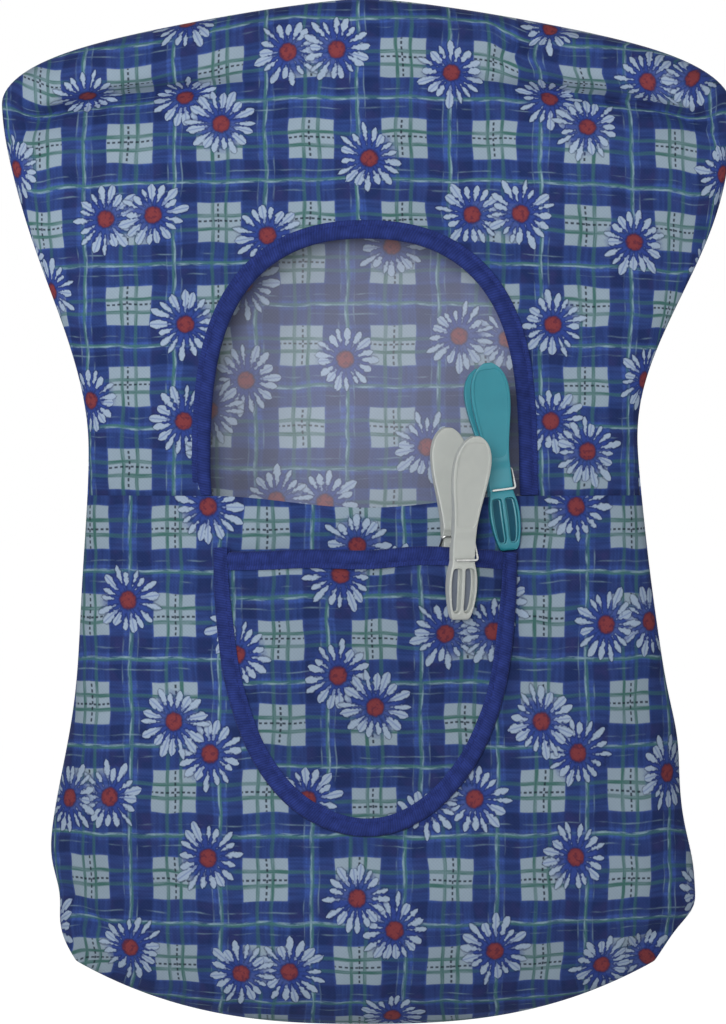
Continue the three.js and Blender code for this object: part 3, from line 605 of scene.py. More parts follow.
# The daisies of one repeat of the print, which steps sideways from row to row. The last two
# lie over others to make pairs.
TILE = (4 * REPEAT[0], 2 * REPEAT[1])
TILE_STEP = 2 * REPEAT[0]
DAISIES = ((24.0, 15.0), (69.0, -3.0), (-19.0, 6.0), (104.0, 44.0), (40.0, 28.0), (90.0, -4.0))
UNDER_DAISIES = 4
DAISY_RADIUS = 16.8
PETALS = 17
# Petals: where they start, how long and how broad they are, how far they lean to a side, and their
# width from root to tip
PETAL_ROOT = 0.26 * DAISY_RADIUS
PETAL_LENGTHS = (0.7 * DAISY_RADIUS, DAISY_RADIUS)
PETAL_WIDTHS = (2.1, 3.2)
PETAL_LEANS = (0.32, 0.68)
PETAL_SHAPE = ((0.25, 0.6), (0.5, 0.86), (0.7, 1.0), (0.85, 0.9), (0.95, 0.6))
# Radii between which the eye ends, its dark rim ends, and its middle turns dark
EYE, EYE_RIM, EYE_SHADE = (3.2, 4.1), (3.4, 4.7), (2.1, 3.8)


def band(add, place, centre, half, soft):
    """1 inside a band about a centre line, falling to 0 over a soft edge."""
    away = add("Math ABSOLUTE", add("Math SUBTRACT", place, centre))
    ends = (half - soft / 2, half + soft / 2)
    return add("MapRange", away, *ends, 1.0, 0.0, interpolation_type="SMOOTHSTEP")


def brush(add, place, pitch, axis, share, low, high):
    """Dry brush marks of a line across an axis: 0 where the colour is broken, 1 where it is full."""
    stretch = [1.0, 1.0, 1.0]
    stretch[1 - axis] = share
    spot = {"Vector": add("VectorMath MULTIPLY", place, stretch), "Scale": 1 / pitch, "Detail": 2.0}
    return add("MapRange", add("TexNoise", named=spot, noise_dimensions="2D"), low, high, 0.0, 1.0)


def nearest(add, place, centres):
    """From the nearest daisy of some of those in the repeat to a place."""
    best = None
    for centre in centres:
        xyz = add("SeparateXYZ", add("VectorMath SUBTRACT", place, (*centre, 0.0)))
        row = add("Math FLOOR", add("Math MULTIPLY_ADD", xyz.outputs[1], 1 / TILE[1], 0.5))
        x = add("Math MULTIPLY_ADD", row, TILE_STEP, xyz.outputs[0])
        x = add("Math WRAP", x, TILE[0] / 2, -TILE[0] / 2)
        y = add("Math WRAP", xyz.outputs[1], TILE[1] / 2, -TILE[1] / 2)
        away = add("CombineXYZ", x, y)
        if best:
            reach = [add("VectorMath LENGTH", v).outputs["Value"] for v in (away, best)]
            nearer = add("Math LESS_THAN", *reach)
            away = add("Mix", named={0: nearer, 4: best, 5: away}, data_type="VECTOR").outputs[1]
        best = away
    return best


def daisies(add, place, under, centres, ragged):
    """Draws daisies of the repeat over a colour."""
    c = colours()
    away = nearest(add, place, centres)
    radius = add("VectorMath LENGTH", away).outputs["Value"]
    xyz = add("SeparateXYZ", away)
    # A daisy's own number comes from its centre, moved so that rounding never splits a daisy.
    key = add("VectorMath SUBTRACT", place, away)
    key = add("VectorMath FLOOR", add("VectorMath ADD", key, (0.3, 0.3, 0.3)))
    own = add("TexWhiteNoise", key, noise_dimensions="3D")

    # Each petal has its own length and width.
    turn = add("Math ARCTAN2", xyz.outputs[1], xyz.outputs[0])
    start = add("Math MULTIPLY", own, 40.0)
    petal = add("Math MULTIPLY_ADD", turn, PETALS / (2 * math.pi), start)
    count = add("Math WRAP", add("Math FLOOR", petal), PETALS, 0.0)
    chance = add("TexWhiteNoise", add("CombineXYZ", count, start), noise_dimensions="3D")
    length = add("MapRange", chance, 0.0, 1.0, *PETAL_LENGTHS)
    chances = add("SeparateColor", chance.outputs["Color"])
    wide = add("MapRange", chances.outputs[1], 0.0, 1.0, *PETAL_WIDTHS)
    lean = add("MapRange", chances.outputs[2], 0.0, 1.0, *PETAL_LEANS)
    frayed = add("Math ADD", ragged, radius)
    along = add("MapRange", frayed, PETAL_ROOT, length, 0.0, 1.0)
    shape = add("FloatCurve", 1.0, along)
    points = shape.mapping.curves[0].points
    points[0].location, points[1].location = (0, 0.25), (1, 0)
    for at in PETAL_SHAPE:
        points.new(*at)
    half = add("Math MULTIPLY_ADD", shape, wide, -1.4)
    aside = add("Math SUBTRACT", add("Math FRACT", petal), lean)
    aside = add("Math MULTIPLY", add("Math ABSOLUTE", aside), radius)
    broad = add("Math GREATER_THAN", chances.outputs[1], 0.7)
    vein = add("Math MULTIPLY", add("MapRange", aside, 0.3, 1.3, 0.5, 0.0), broad)
    inside = add("Math MULTIPLY_ADD", aside, -2 * math.pi / PETALS, half)
    inside = add("Math MULTIPLY_ADD", ragged, 0.5, inside)

    # Petals are blue at the root and drawn with a dark line, and a broad one has a blue vein. The
    # eye is bright in the middle.
    ground = add("MapRange", frayed, 0.5 * DAISY_RADIUS, 0.8 * DAISY_RADIUS, 0.9, 0.0)
    outline = add("MapRange", inside, -1.0, -0.4, 0.0, 0.5)
    face = add("MapRange", inside, -0.3, 0.25, 0.0, 1.0)
    root = add("MapRange", along, 0.05, 0.4, 0.75, 0.0)
    white = coats(add, c.petal, ("#5f71ab", root), ("#5f71ab", vein))
    around = add("Math MULTIPLY_ADD", ragged, 0.35, radius)
    rim = add("MapRange", around, *EYE_RIM, 0.8, 0.0)
    eye = add("MapRange", around, *EYE, 1.0, 0.0)
    dark = add("MapRange", around, *EYE_SHADE, 0.0, 0.7)
    speck = add("MapRange", ragged, 0.1, 0.4, 0.0, 0.6)
    red = coats(add, c.eye, ("#55283c", dark), ("#55283c", speck))
    return coats(
        add, under, ("#334790", ground), (c.deep, outline), (white, face), (c.deep, rim), (red, eye))


def plaid(add, place):
    """Pale squares on blue, with green, mint and broken white lines."""
    c = colours()
    xyz = add("SeparateXYZ", place)
    squares, lines = [], {key: [] for key in LINES}
    paint = c.ground
    for axis in (0, 1):
        half = REPEAT[axis] / 2
        stroke = brush(add, place, 1.6, axis, STROKE_SHARE, 0.34, 0.64)
        broad = brush(add, place, 4.5, axis, STROKE_SHARE, 0.4, 0.7)
        light = add("Math MULTIPLY", broad, 0.13)
        shade = add("MapRange", stroke, 0.0, 1.0, 0.36, 0.0)
        paint = coats(add, paint, (c.deep, shade), ("#5468ad", light))
        at = add("Math WRAP", xyz.outputs[axis], half, -half)
        turned = add("Math WRAP", xyz.outputs[axis], REPEAT[axis], 0.0)
        away = add("Math ABSOLUTE", at)
        squares.append(band(add, at, 0.0, SQUARE[axis] / 2, SQUARE_SOFT))
        full = add("MapRange", stroke, 0.0, 1.0, 0.6, 1.0)
        beat = add("Math SINE", add("Math MULTIPLY", xyz.outputs[1 - axis], 2.7))
        beat = add("MapRange", beat, -0.7, 0.2, 0.0, 0.9)
        worn = brush(add, place, 1.4, axis, STREAK_SHARE, 0.36, 0.66)
        pieces = brush(add, place, 2.4, axis, STREAK_SHARE, 0.46, 0.7)
        # Each line is measured in one of three ways, has its centre there, and shows where it is full.
        drawn = {
            "stripe": (away, SQUARE[axis] / 2 + STRIPE_AWAY, full),
            "green": (away, GREEN_AWAY[axis], full),
            "dash": (at, DASH_AWAY, beat),
            "mint": (turned, half - MINT_AWAY, full),
            "chalk": (turned, half + MINT_AWAY, worn),
            "broken": (away, half - BROKEN_AWAY[axis], pieces),
        }
        for key, (measure, centre, shows) in drawn.items():
            line = band(add, measure, centre, *LINES[key])
            lines[key].append(add("Math MULTIPLY", line, shows))

    crossing = add("Math MULTIPLY", *lines["stripe"])
    square = add("Math MULTIPLY", *squares)
    patches = brush(add, place, 9.0, 0, 1.0, 0.42, 0.8)
    dusk = add("Math MULTIPLY", add("MapRange", crossing, 0.0, 1.0, 0.3, 1.0), patches)
    dark = [(c.deep, add("Math MULTIPLY", stripe, STRIPE_STRENGTH)) for stripe in lines["stripe"]]
    dark.append((c.deep, add("Math MULTIPLY", crossing, CROSSING_STRENGTH)))
    strengths = {
        "green": add("MapRange", square, 0.0, 1.0, 0.6, 0.95), "dash": square,
        "mint": MINT_STRENGTH, "chalk": MINT_STRENGTH, "broken": BROKEN_STRENGTH,
    }
    shown = {}
    for key, strength in strengths.items():
        shown[key] = add("Math MULTIPLY", add("Math MAXIMUM", *lines[key]), strength)
    return coats(
        add, paint, *dark, (c.dusk, dusk), (c.check, square), (c.green, shown["green"]),
        ("#1f2a36", shown["dash"]), ("#44736c", shown["mint"]), (c.mint, shown["chalk"]),
        (c.mint, shown["broken"]))


def print_group():
    """The plaid and daisy print, from a place on the cloth in millimetres to a colour."""
    found = bpy.data.node_groups.get("plaid_and_daisies")
    if found:
        return found
    tree = bpy.data.node_groups.new("plaid_and_daisies", "ShaderNodeTree")
    tree.interface.new_socket("Place", in_out="INPUT", socket_type="NodeSocketVector")
    tree.interface.new_socket("Colour", in_out="OUTPUT", socket_type="NodeSocketColor")
    start, end = tree.nodes.new("NodeGroupInput"), tree.nodes.new("NodeGroupOutput")
    add = partial(node, tree)
    # Hand-drawn lines wander a little, and the edges of painted shapes are ragged.
    wander, ragged = (
        add("TexNoise", named={"Vector": start, "Scale": scale, "Detail": 1.0}, noise_dimensions="2D")
        for scale in (0.05, 0.55))
    wander = add("VectorMath SUBTRACT", wander.outputs["Color"], (0.5, 0.5, 0.5))
    wander = add("VectorMath SCALE", wander, named={"Scale": 2.6})
    place = add("VectorMath ADD", start, wander)
    ragged = add("MapRange", ragged, 0.25, 0.75, -0.6, 0.6)
    colour = plaid(add, place)
    for centres in (DAISIES[:UNDER_DAISIES], DAISIES[UNDER_DAISIES:]):
        colour = daisies(add, start, colour, centres, ragged)
    tree.links.new(colour, end.inputs[0])
    return tree


def cloth_place(add):
    """A place on the cloth, across and down in millimetres."""
    own = add("Attribute", attribute_name="cloth")
    return add("VectorMath SCALE", own.outputs["Vector"], named={"Scale": 1 / MM})


# Plain-weave cotton has about 25 threads to the centimetre. That is finer than a pixel of the
# render, so the threads are drawn 0.8 mm apart.
THREAD = 0.8


def woven(add, place, pitch):
    """Heights of threads that pass over and under each other."""
    xyz = add("SeparateXYZ", place)
    waves = []
    for axis in (0, 1):
        wave = add("Math MULTIPLY", xyz.outputs[axis], 2 * math.pi / pitch)
        waves.append(add("Math SINE", wave))
    return add("MapRange", add("Math MULTIPLY", *waves), -1.0, 1.0, 0.0, 1.0)


# How the print lies on each panel: where one of its squares is, across and down in millimetres, and
# which way it runs. The back is seen from its wrong side, and the lower front was cut with the print
# upside down and has stretched lengthways.
PRINT_PLACES = {
    "back": (-27.6, 6.5), "upper": (-102.2, 24.0), "lower": (-42.6, 339.6), "pocket": (-35.6, 275.0)}
PRINT_RUNS = {"back": (-1.0, 1.0), "upper": (1.0, 1.0), "lower": (-1.0, -0.943), "pocket": (1.0, 1.0)}
# The top is painted lighter and the base darker between two drops in millimetres, as painted light and
# shade, and the pocket is painted darker as painted shade. The wrong side is paler under a veil of its
# ground, partly its own paleness and partly painted light through the thin cotton, and is painted lighter
# still as painted light.
TOP_PAINTED_LIGHT, BASE_PAINTED_SHADE, POCKET_PAINTED_SHADE, WRONG_SIDE_PAINTED_LIGHT = 1.05, 0.9, 0.92, 1.16
PAINTED_LIGHT_DROPS = (100.0, 480.0)
WRONG_SIDE_VEIL_AND_PAINTED_LIGHT = 0.22


def printed_cotton(add, panel, wrong_side):
    """Plain-weave printed cotton: matt, with a soft sheen and a visible weave whose dips are painted darker
    as painted shade. The wrong side is paler, partly as painted light, and the top is painted lighter and
    the base and the pocket darker as painted light and shade.
    """
    place = cloth_place(add)
    moved = add("VectorMath SUBTRACT", place, (*PRINT_PLACES[panel], 0.0))
    moved = add("VectorMath MULTIPLY", moved, (*PRINT_RUNS[panel], 1.0))
    colour = add("Group", moved, node_tree=print_group()).outputs[0]
    # Painted shade: the pocket's cloth is coloured darker.
    painted_light_level = POCKET_PAINTED_SHADE if panel == "pocket" else 1.0
    if wrong_side:
        # The wrong side's veil is partly its own paleness and partly painted light through the thin cotton,
        # and its raised level is painted light.
        colour = coats(add, colour, (colours().reverse, WRONG_SIDE_VEIL_AND_PAINTED_LIGHT))
        painted_light_level *= WRONG_SIDE_PAINTED_LIGHT
    weave = woven(add, place, 2 * THREAD)
    faded = add("TexNoise", named={"Vector": place, "Scale": 0.012, "Detail": 3.0}, noise_dimensions="2D")
    level = add("MapRange", faded, 0.3, 0.7, 0.93 * painted_light_level, 1.05 * painted_light_level)
    # Painted light and shade: the cloth is coloured lighter at the top and darker towards the base.
    painted_light_fall = add("MapRange", add("SeparateXYZ", place).outputs[1], *PAINTED_LIGHT_DROPS, TOP_PAINTED_LIGHT, BASE_PAINTED_SHADE)
    # Painted shade: the cloth is coloured darker where the threads dip.
    thread = add("MapRange", weave, 0.0, 1.0, 0.95, 1.03)
    value = add("Math MULTIPLY", add("Math MULTIPLY", level, thread), painted_light_fall)
    return add("BsdfPrincipled", named={
        "Base Color": add("HueSaturation", named={"Color": colour, "Value": value}),
        "Roughness": add("MapRange", weave, 0.0, 1.0, 0.92, 0.8),
        "Normal": add("Bump", named={"Height": weave, "Strength": 0.2, "Distance": 0.15 * MM}),
        "Specular IOR Level": 0.12, "Sheen Weight": 0.03, "Sheen Roughness": 0.5})


# Ribs of the tape are 0.6 mm apart on the real one, and drawn 1.1 mm apart so that they show.
RIB = 1.1
RIB_SLANT = 0.25


def ribbed_tape(add):
    """Woven cotton tape: close ribs across it, coloured darker in their hollows and lighter on their crests
    as painted shade and highlight, a matt face and slightly worn edges.
    """
    place = cloth_place(add)
    xyz = add("SeparateXYZ", place)
    slant = add("Math MULTIPLY_ADD", xyz.outputs[0], RIB_SLANT, xyz.outputs[1])
    rib = add("Math SINE", add("Math MULTIPLY", slant, 2 * math.pi / RIB))
    rib = add("MapRange", rib, -1.0, 1.0, 0.0, 1.0)
    noise = add("TexNoise", named={"Vector": place, "Scale": 0.25, "Detail": 4.0}, noise_dimensions="2D")
    worn = add("MapRange", noise, 0.3, 0.7, 0.78, 1.2)
    # Painted shade and highlight: the ribs' hollows are coloured darker and their crests lighter.
    value = add("Math MULTIPLY", worn, add("MapRange", rib, 0.0, 1.0, 0.78, 1.12))
    return add("BsdfPrincipled", named={
        "Base Color": add("HueSaturation", named={"Color": opaque(colours().tape), "Value": value}),
        "Roughness": 0.82,
        "Normal": add("Bump", named={"Height": rib, "Strength": 0.5, "Distance": 0.2 * MM}),
        "Specular IOR Level": 0.12, "Sheen Weight": 0.04, "Sheen Roughness": 0.45})


def sewing_thread(add):
    """Spun sewing thread: a twisted strand with a slight gloss."""
    place = add("TexCoord").outputs["Object"]
    twist = add("TexWave", named={"Vector": place, "Scale": 420.0, "Distortion": 1.0})
    value = add("MapRange", twist.outputs["Fac"], 0.0, 1.0, 0.8, 1.1)
    shaded = add("HueSaturation", named={"Color": opaque("#263372"), "Value": value})
    return add("BsdfPrincipled", named={
        "Base Color": shaded, "Roughness": 0.7, "Specular IOR Level": 0.2})


def moulded_plastic(add, colour, dark, see_through, gloss):
    """Moulded polypropylene: waxy, slightly see-through, with faint flow marks and rubbed spots."""
    place = add("TexCoord").outputs["Object"]
    flow = add("TexNoise", named={"Vector": place, "Scale": 90.0, "Detail": 3.0, "Distortion": 0.6})
    blend = add("MapRange", flow, 0.35, 0.7, 0.0, 0.35)
    grain = add("TexNoise", named={"Vector": place, "Scale": 1600.0, "Detail": 2.0})
    return add("BsdfPrincipled", named={
        "Base Color": coats(add, colour, (dark, blend)),
        "Roughness": add("MapRange", grain, 0.3, 0.7, 0.3, 0.44),
        "Normal": add("Bump", named={"Height": grain, "Strength": 0.12, "Distance": 0.05 * MM}),
        "IOR": 1.49, "Specular IOR Level": gloss, "Transmission Weight": see_through,
        "Subsurface Weight": 0.2, "Subsurface Radius": (1.0, 1.0, 1.0), "Subsurface Scale": 2 * MM})


def bright_wire(add):
    """Zinc-plated steel wire: drawn lengthwise, bright, with dull spots."""
    place = add("TexCoord").outputs["Object"]
    spots = add("TexNoise", named={"Vector": place, "Scale": 260.0, "Detail": 4.0})
    dull = add("MapRange", spots, 0.5, 0.75, 0.0, 0.7)
    return add("BsdfPrincipled", named={
        "Base Color": coats(add, "#c9cac8", ("#8f918f", dull)),
        "Roughness": add("MapRange", spots, 0.3, 0.7, 0.2, 0.38), "Metallic": 1.0})


def varnished_beech(add):
    """Varnished beech: pale pinkish brown, fine grain along the hanger, short dark flecks, a satin coat."""
    place = add("TexCoord").outputs["Object"]
    along = add("Mapping", place, named={"Scale": (12.0, 160.0, 160.0)})
    grain = add("TexNoise", named={"Vector": along, "Scale": 1.0, "Detail": 6.0, "Distortion": 0.4})
    flecks = add("Mapping", place, named={"Scale": (160.0, 900.0, 900.0)})
    flecks = add("TexNoise", named={"Vector": flecks, "Scale": 1.0, "Detail": 1.0})
    growth = add("MapRange", grain, 0.3, 0.75, 0.0, 1.0)
    flecks = add("MapRange", flecks, 0.62, 0.72, 0.0, 0.6)
    return add("BsdfPrincipled", named={
        "Base Color": coats(add, "#cfa878", ("#a97c4e", growth), ("#7c5634", flecks)),
        "Roughness": 0.45,
        "Normal": add("Bump", named={"Height": grain, "Strength": 0.15, "Distance": 0.2 * MM}),
        "Coat Weight": 0.4, "Coat Roughness": 0.2})


def wire_finish():
    return finish("plated_steel_wire", bright_wire)


def finish_node(name, material):
    """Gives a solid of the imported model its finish."""
    obj = frame["nodes"][name]
    obj.data.materials.clear()
    obj.data.materials.append(material)


# Panels

# Faces across a panel, and down it: at the turned shoulder, on the back, on the lower front and at the
# turned base
COLUMNS = 150
TOP_ROWS, BACK_ROWS, LOWER_ROWS, BASE_ROWS = 10, 119, 85, 26
# The upper front: faces up its sides, along half its shoulder line, and in to the opening, and the share
# of the opening's edge that each side takes up
SIDE_STEPS, SHOULDER_STEPS, UPPER_ROWS = 84, 72, 58
SIDE_SHARE = 0.29
# How far its edge lies inside the fold of the tape, and how far it sinks behind the lower front
TAPE_COVER = 1 * MM
UPPER_SINK = 1.1 * MM
# Points of the lines that are then cut into even steps: for each step of a round end, along half the
# shoulder line, round the opening, and where the opening's edge is read
ROUND_FINE, SHOULDER_FINE, ARCH_FINE, EDGE_FINE = 40, 600, 400, 2000
# Powers of the round ends of the opening and the pocket, across and up
OPENING_POWERS = (2.3, 3.4)
POCKET_POWERS = (2.0, 2.6)


def turn_steps(count):
    """Steps from 0 to 1, closer together at 0, for cloth that turns over at a seam."""
    return 1 - np.cos(np.linspace(0, math.pi / 2, count + 1))


def round_end(half, tall, powers, count):
    """A round-ended line from its left foot over to its right foot: across, and up from the feet."""
    turn = np.linspace(math.pi, 0, ROUND_FINE * count)
    across = np.sign(np.cos(turn)) * np.abs(np.cos(turn)) ** (2 / powers[0])
    up = np.abs(np.sin(turn)) ** (2 / powers[1])
    return even_line(np.stack([half * across, tall * up], -1), count)


def upper_lift(drop):
    """The upper front lies inside the lower front where they overlap."""
    return -UPPER_SINK * ease((drop - sizes().lip_drop) / (2 * LIP_OVERLAP) + 1)


def upper_grid():
    """Shares and drops of the upper front, in rows from its seams in to the edge of the opening."""
    s = sizes()
    foot = s.lip_drop + LIP_OVERLAP
    seam_drop = np.linspace(foot, s.slope_fall + s.tip_fall, SIDE_STEPS + 1)
    seam = np.stack([-half_width(seam_drop), seam_drop], -1)
    share = np.linspace(-1, 0, SHOULDER_FINE)
    line = np.stack([share * s.shoulder, shoulder_drop(share)], -1)
    outer = np.concatenate([seam, even_line(line, SHOULDER_STEPS)[1:]])
    outer = np.concatenate([outer, outer[-2::-1] * (-1, 1)])
    half, tall = s.opening + TAPE_COVER, s.opening_height + TAPE_COVER
    arch = round_end(half, tall, OPENING_POWERS, ARCH_FINE)
    arch[:, 1] = s.lip_drop - arch[:, 1]
    arch = np.concatenate([[[arch[0, 0], foot]], arch, [[arch[-1, 0], foot]]])
    reach = np.concatenate([
        np.linspace(0, SIDE_SHARE, SIDE_STEPS + 1), np.linspace(SIDE_SHARE, 0.5, SHOULDER_STEPS + 1)[1:]])
    reach = np.concatenate([reach, 1 - reach[-2::-1]])
    inner = read_line(reach, np.linspace(0, 1, EDGE_FINE + 1), even_line(arch, EDGE_FINE))
    places = mix(outer[None], inner[None], turn_steps(UPPER_ROWS)[:, None, None])
    drop = places[..., 1]
    return np.clip(places[..., 0] / half_width(drop), -1, 1), drop


def hang_cloth(name, panel, solid, points, places, **facts):
    """A panel of printed cotton that stands for a solid. The facts given for it are not used."""
    print_name = "printed_cotton_" + panel
    cloth = sheet_object(name, points, places, sizes().cloth, [
        finish(print_name, printed_cotton, panel, False),
        finish(print_name + "_wrong_side", printed_cotton, panel, True)])
    dress(cloth, "bag", "printed_cloth", solid)


class PEGBAG_OT_panels(bpy.types.Operator):
    """Cuts and hangs the back and the two fronts of the bag in printed cotton"""

    bl_idname = "pegbag.panels"
    bl_label = "Cloth panels"

    def execute(self, context):
        s = sizes()
        share = edge_steps(COLUMNS)[None]
        base_rows = base_drop(share) - BASE_ROUND * turn_steps(BASE_ROWS)[::-1, None]

        # Back, from the shoulder seam to the base seam, with its rows turned to face backward
        top_rows = shoulder_drop(share) + SHOULDER_ROUND * turn_steps(TOP_ROWS)[:, None]
        steps = np.linspace(0, 1, BACK_ROWS + 1)[1:-1, None]
        drop = np.concatenate([top_rows, mix(top_rows[-1:], base_rows[:1], steps), base_rows])
        at = (BACK, np.broadcast_to(share, drop.shape), drop)
        hang_cloth(
            "back_cloth", "back", "back_panel", bag_points(*at)[:, ::-1], cloth_places(*at)[:, ::-1],
            flat=(0.34, 0.48), held="hung", rests_on=["hanger_body"])

        # Upper front, round the opening
        at = (FRONT, *upper_grid())
        points = bag_points(*at)
        points = points + grid_normals(points) * upper_lift(at[2])[..., None]
        hang_cloth(
            "front_upper_cloth", "upper", "front_upper_panel", points, cloth_places(*at),
            flat=(0.33, 0.25), held="hung", rests_on=["hanger_body"])

        # Lower front, from the lip to the base seam
        lip = lip_drop(share * half_width(s.lip_drop))
        rows = mix(lip, base_rows[:1], np.linspace(0, 1, LOWER_ROWS + 1)[:-1, None])
        drop = np.concatenate([rows, base_rows])
        at = (FRONT, np.broadcast_to(share, drop.shape), drop)
        hang_cloth(
            "front_lower_cloth", "lower", "front_lower_panel", bag_points(*at), cloth_places(*at),
            flat=(0.31, 0.27), held="hung", rests_on=["front_upper_panel"])
        return {"FINISHED"}


# The pocket

POCKET_SEAT = 2.3 * MM
POCKET_INSET = 1.2 * MM
# Faces across and down, and how much of the way to the round bottom they reach
POCKET_COLUMNS, POCKET_ROWS = 60, 63
POCKET_REACH = 0.97
# How far the lift may fall below the seat outside the pocket's edge, as a share of the gape, and how fast
# the gape closes down the pocket
SINK_SHARE, GAPE_POWER = 0.2, 3


def pocket_lift(x, drop):
    s = sizes()
    down = np.maximum(0, (drop - s.pocket_drop) / s.pocket_height)
    inside = 1 - np.abs(x / s.pocket) ** POCKET_POWERS[0] - down ** POCKET_POWERS[1]
    closing = np.maximum(0, 1 - down) ** GAPE_POWER
    return POCKET_SEAT + s.pocket_gape * np.maximum(-SINK_SHARE, inside) * closing


def on_pocket(x, drop):
    """Points on the pocket's cloth, and their normals."""

    def at(px, pd):
        return on_front(px, pd, pocket_lift(px, pd))

    return at(x, drop), surface_normals(at, x, drop)


class PEGBAG_OT_pocket(bpy.types.Operator):
    """Sets the patch pocket on the front"""

    bl_idname = "pegbag.pocket"
    bl_label = "Pocket"

    def execute(self, context):
        s = sizes()
        down = np.sin(np.linspace(0, POCKET_REACH, POCKET_ROWS + 1) * math.pi / 2)[:, None]
        half = (s.pocket - POCKET_INSET) * np.sqrt(1 - down ** POCKET_POWERS[1])
        x = half * edge_steps(POCKET_COLUMNS)[None]
        drop = s.pocket_drop + POCKET_INSET + (s.pocket_height - 2 * POCKET_INSET) * down
        drop = np.broadcast_to(drop, x.shape)
        points, _ = on_pocket(x, drop)
        hang_cloth(
            "pocket_cloth", "pocket", "pocket_panel", points, np.stack([x, drop, np.zeros(x.shape)], -1),
            flat=(0.128, 0.122), held="stretched", rests_on=["front_lower_panel"])
        return {"FINISHED"}


# Bindings

TAPE_THICK = 0.65 * MM
# From the tape's inner edge to its fold: share of its width, and height over the cloth in
# millimetres. A sewn groove parts a flat edge from a soft roll.
TAPE_PROFILE = (
    (1.0, 0.75), (0.93, 0.88), (0.83, 0.88), (0.76, 0.75), (0.72, 0.7), (0.67, 0.8), (0.58, 1.3),
    (0.45, 1.65), (0.3, 1.72), (0.17, 1.55), (0.08, 1.15), (0.03, 0.6), (0.0, 0.0),
)
# The stitches lie in the groove: share of the tape's width, and height of the groove
TAPE_GROOVE = 0.72
GROOVE_HEIGHT = 0.7 * MM
# A stitch along its length: place and girth as shares, with its ends sunk in the tape
STITCH_SHAPE = ((-0.5, 0.35), (-0.25, 0.9), (0.0, 1.0), (0.25, 0.9), (0.5, 0.35))
STITCH_RADIUS = 0.28 * MM
STITCH_SINK = 0.28 * MM
STITCH_PROUD = 0.12 * MM
STITCH_PITCH = 1.35
STITCH_SIDES = 6
# Faces along the tapes of the round edges and of the pocket's mouth
ROUND_STEPS, MOUTH_STEPS = 220, 80
# Room between the opening's tape and the lip, how far the tape of the pocket's edge stands above the
# mouth, and how far the tape of the mouth runs under it
LIP_ROOM, MOUTH_PASS, END_PASS = 0.3 * MM, 2.2 * MM, 0.8 * MM


def tape_grid(points, normals):
    """A tape folded over an edge: its two layers run in from the fold, which lies on the points."""
    way = unit(np.gradient(points, axis=0))
    into = unit(np.cross(normals, way))
    inward, out = np.array(TAPE_PROFILE).T
    inward = np.concatenate([inward, inward[-2::-1]]) * sizes().tape_width
    out = np.concatenate([out, -out[-2::-1]]) * MM
    grid = points[None] + into[None] * inward[:, None, None] + normals[None] * out[:, None, None]
    span = distances(np.stack([inward, out], -1))
    places = np.stack(np.broadcast_arrays(span[:, None], distances(points)[None], 0.0), -1)
    return grid, places, into


def face_outward():
    """Turns all faces of the mesh in edit mode outward, and leaves edit mode."""
    bpy.ops.mesh.select_all(action="SELECT")
    bpy.ops.mesh.normals_make_consistent(inside=False)
    bpy.ops.object.mode_set(mode="OBJECT")


def stitches(name, points, normals, into):
    """A row of stitches along a tape, each a slim closed grain of thread."""
    s = sizes()
    height = GROOVE_HEIGHT + TAPE_THICK / 2 + STITCH_PROUD
    line = points + into * TAPE_GROOVE * s.tape_width + normals * height
    along = distances(line)
    pitch = STITCH_PITCH * s.stitch
    count = int((along[-1] - 2 * pitch) / pitch)
    middles = pitch * (1.5 + np.arange(count))
    aside, out = (unit(read_line(middles, along, v))[:, None] for v in (into, normals))
    place, girth = np.array(STITCH_SHAPE).T[..., None]
    centres = read_line(middles, along, line)[:, None] + np.cross(aside, out) * place * s.stitch
    centres = centres - out * STITCH_SINK * (2 * place) ** 2
    turn = np.arange(STITCH_SIDES)[:, None] * 2 * math.pi / STITCH_SIDES
    spokes = aside[:, None] * np.cos(turn) + out[:, None] * np.sin(turn)
    verts = centres[:, :, None] + spokes * STITCH_RADIUS * girth[:, None]
    faces = []
    for rings in np.arange(verts[..., 0].size).reshape(verts.shape[:3]).tolist():
        for ring, after in zip(rings, rings[1:]):
            for k in range(STITCH_SIDES):
                faces.append((ring[k - 1], ring[k], after[k], after[k - 1]))
        faces += [rings[0][::-1], rings[-1]]
    obj = mesh_object(name, verts, faces)
    select_only(obj)
    bpy.ops.object.mode_set(mode="EDIT")
    face_outward()
    obj.data.materials.append(finish("sewing_thread", sewing_thread))
    smooth(obj, 70)
    return obj


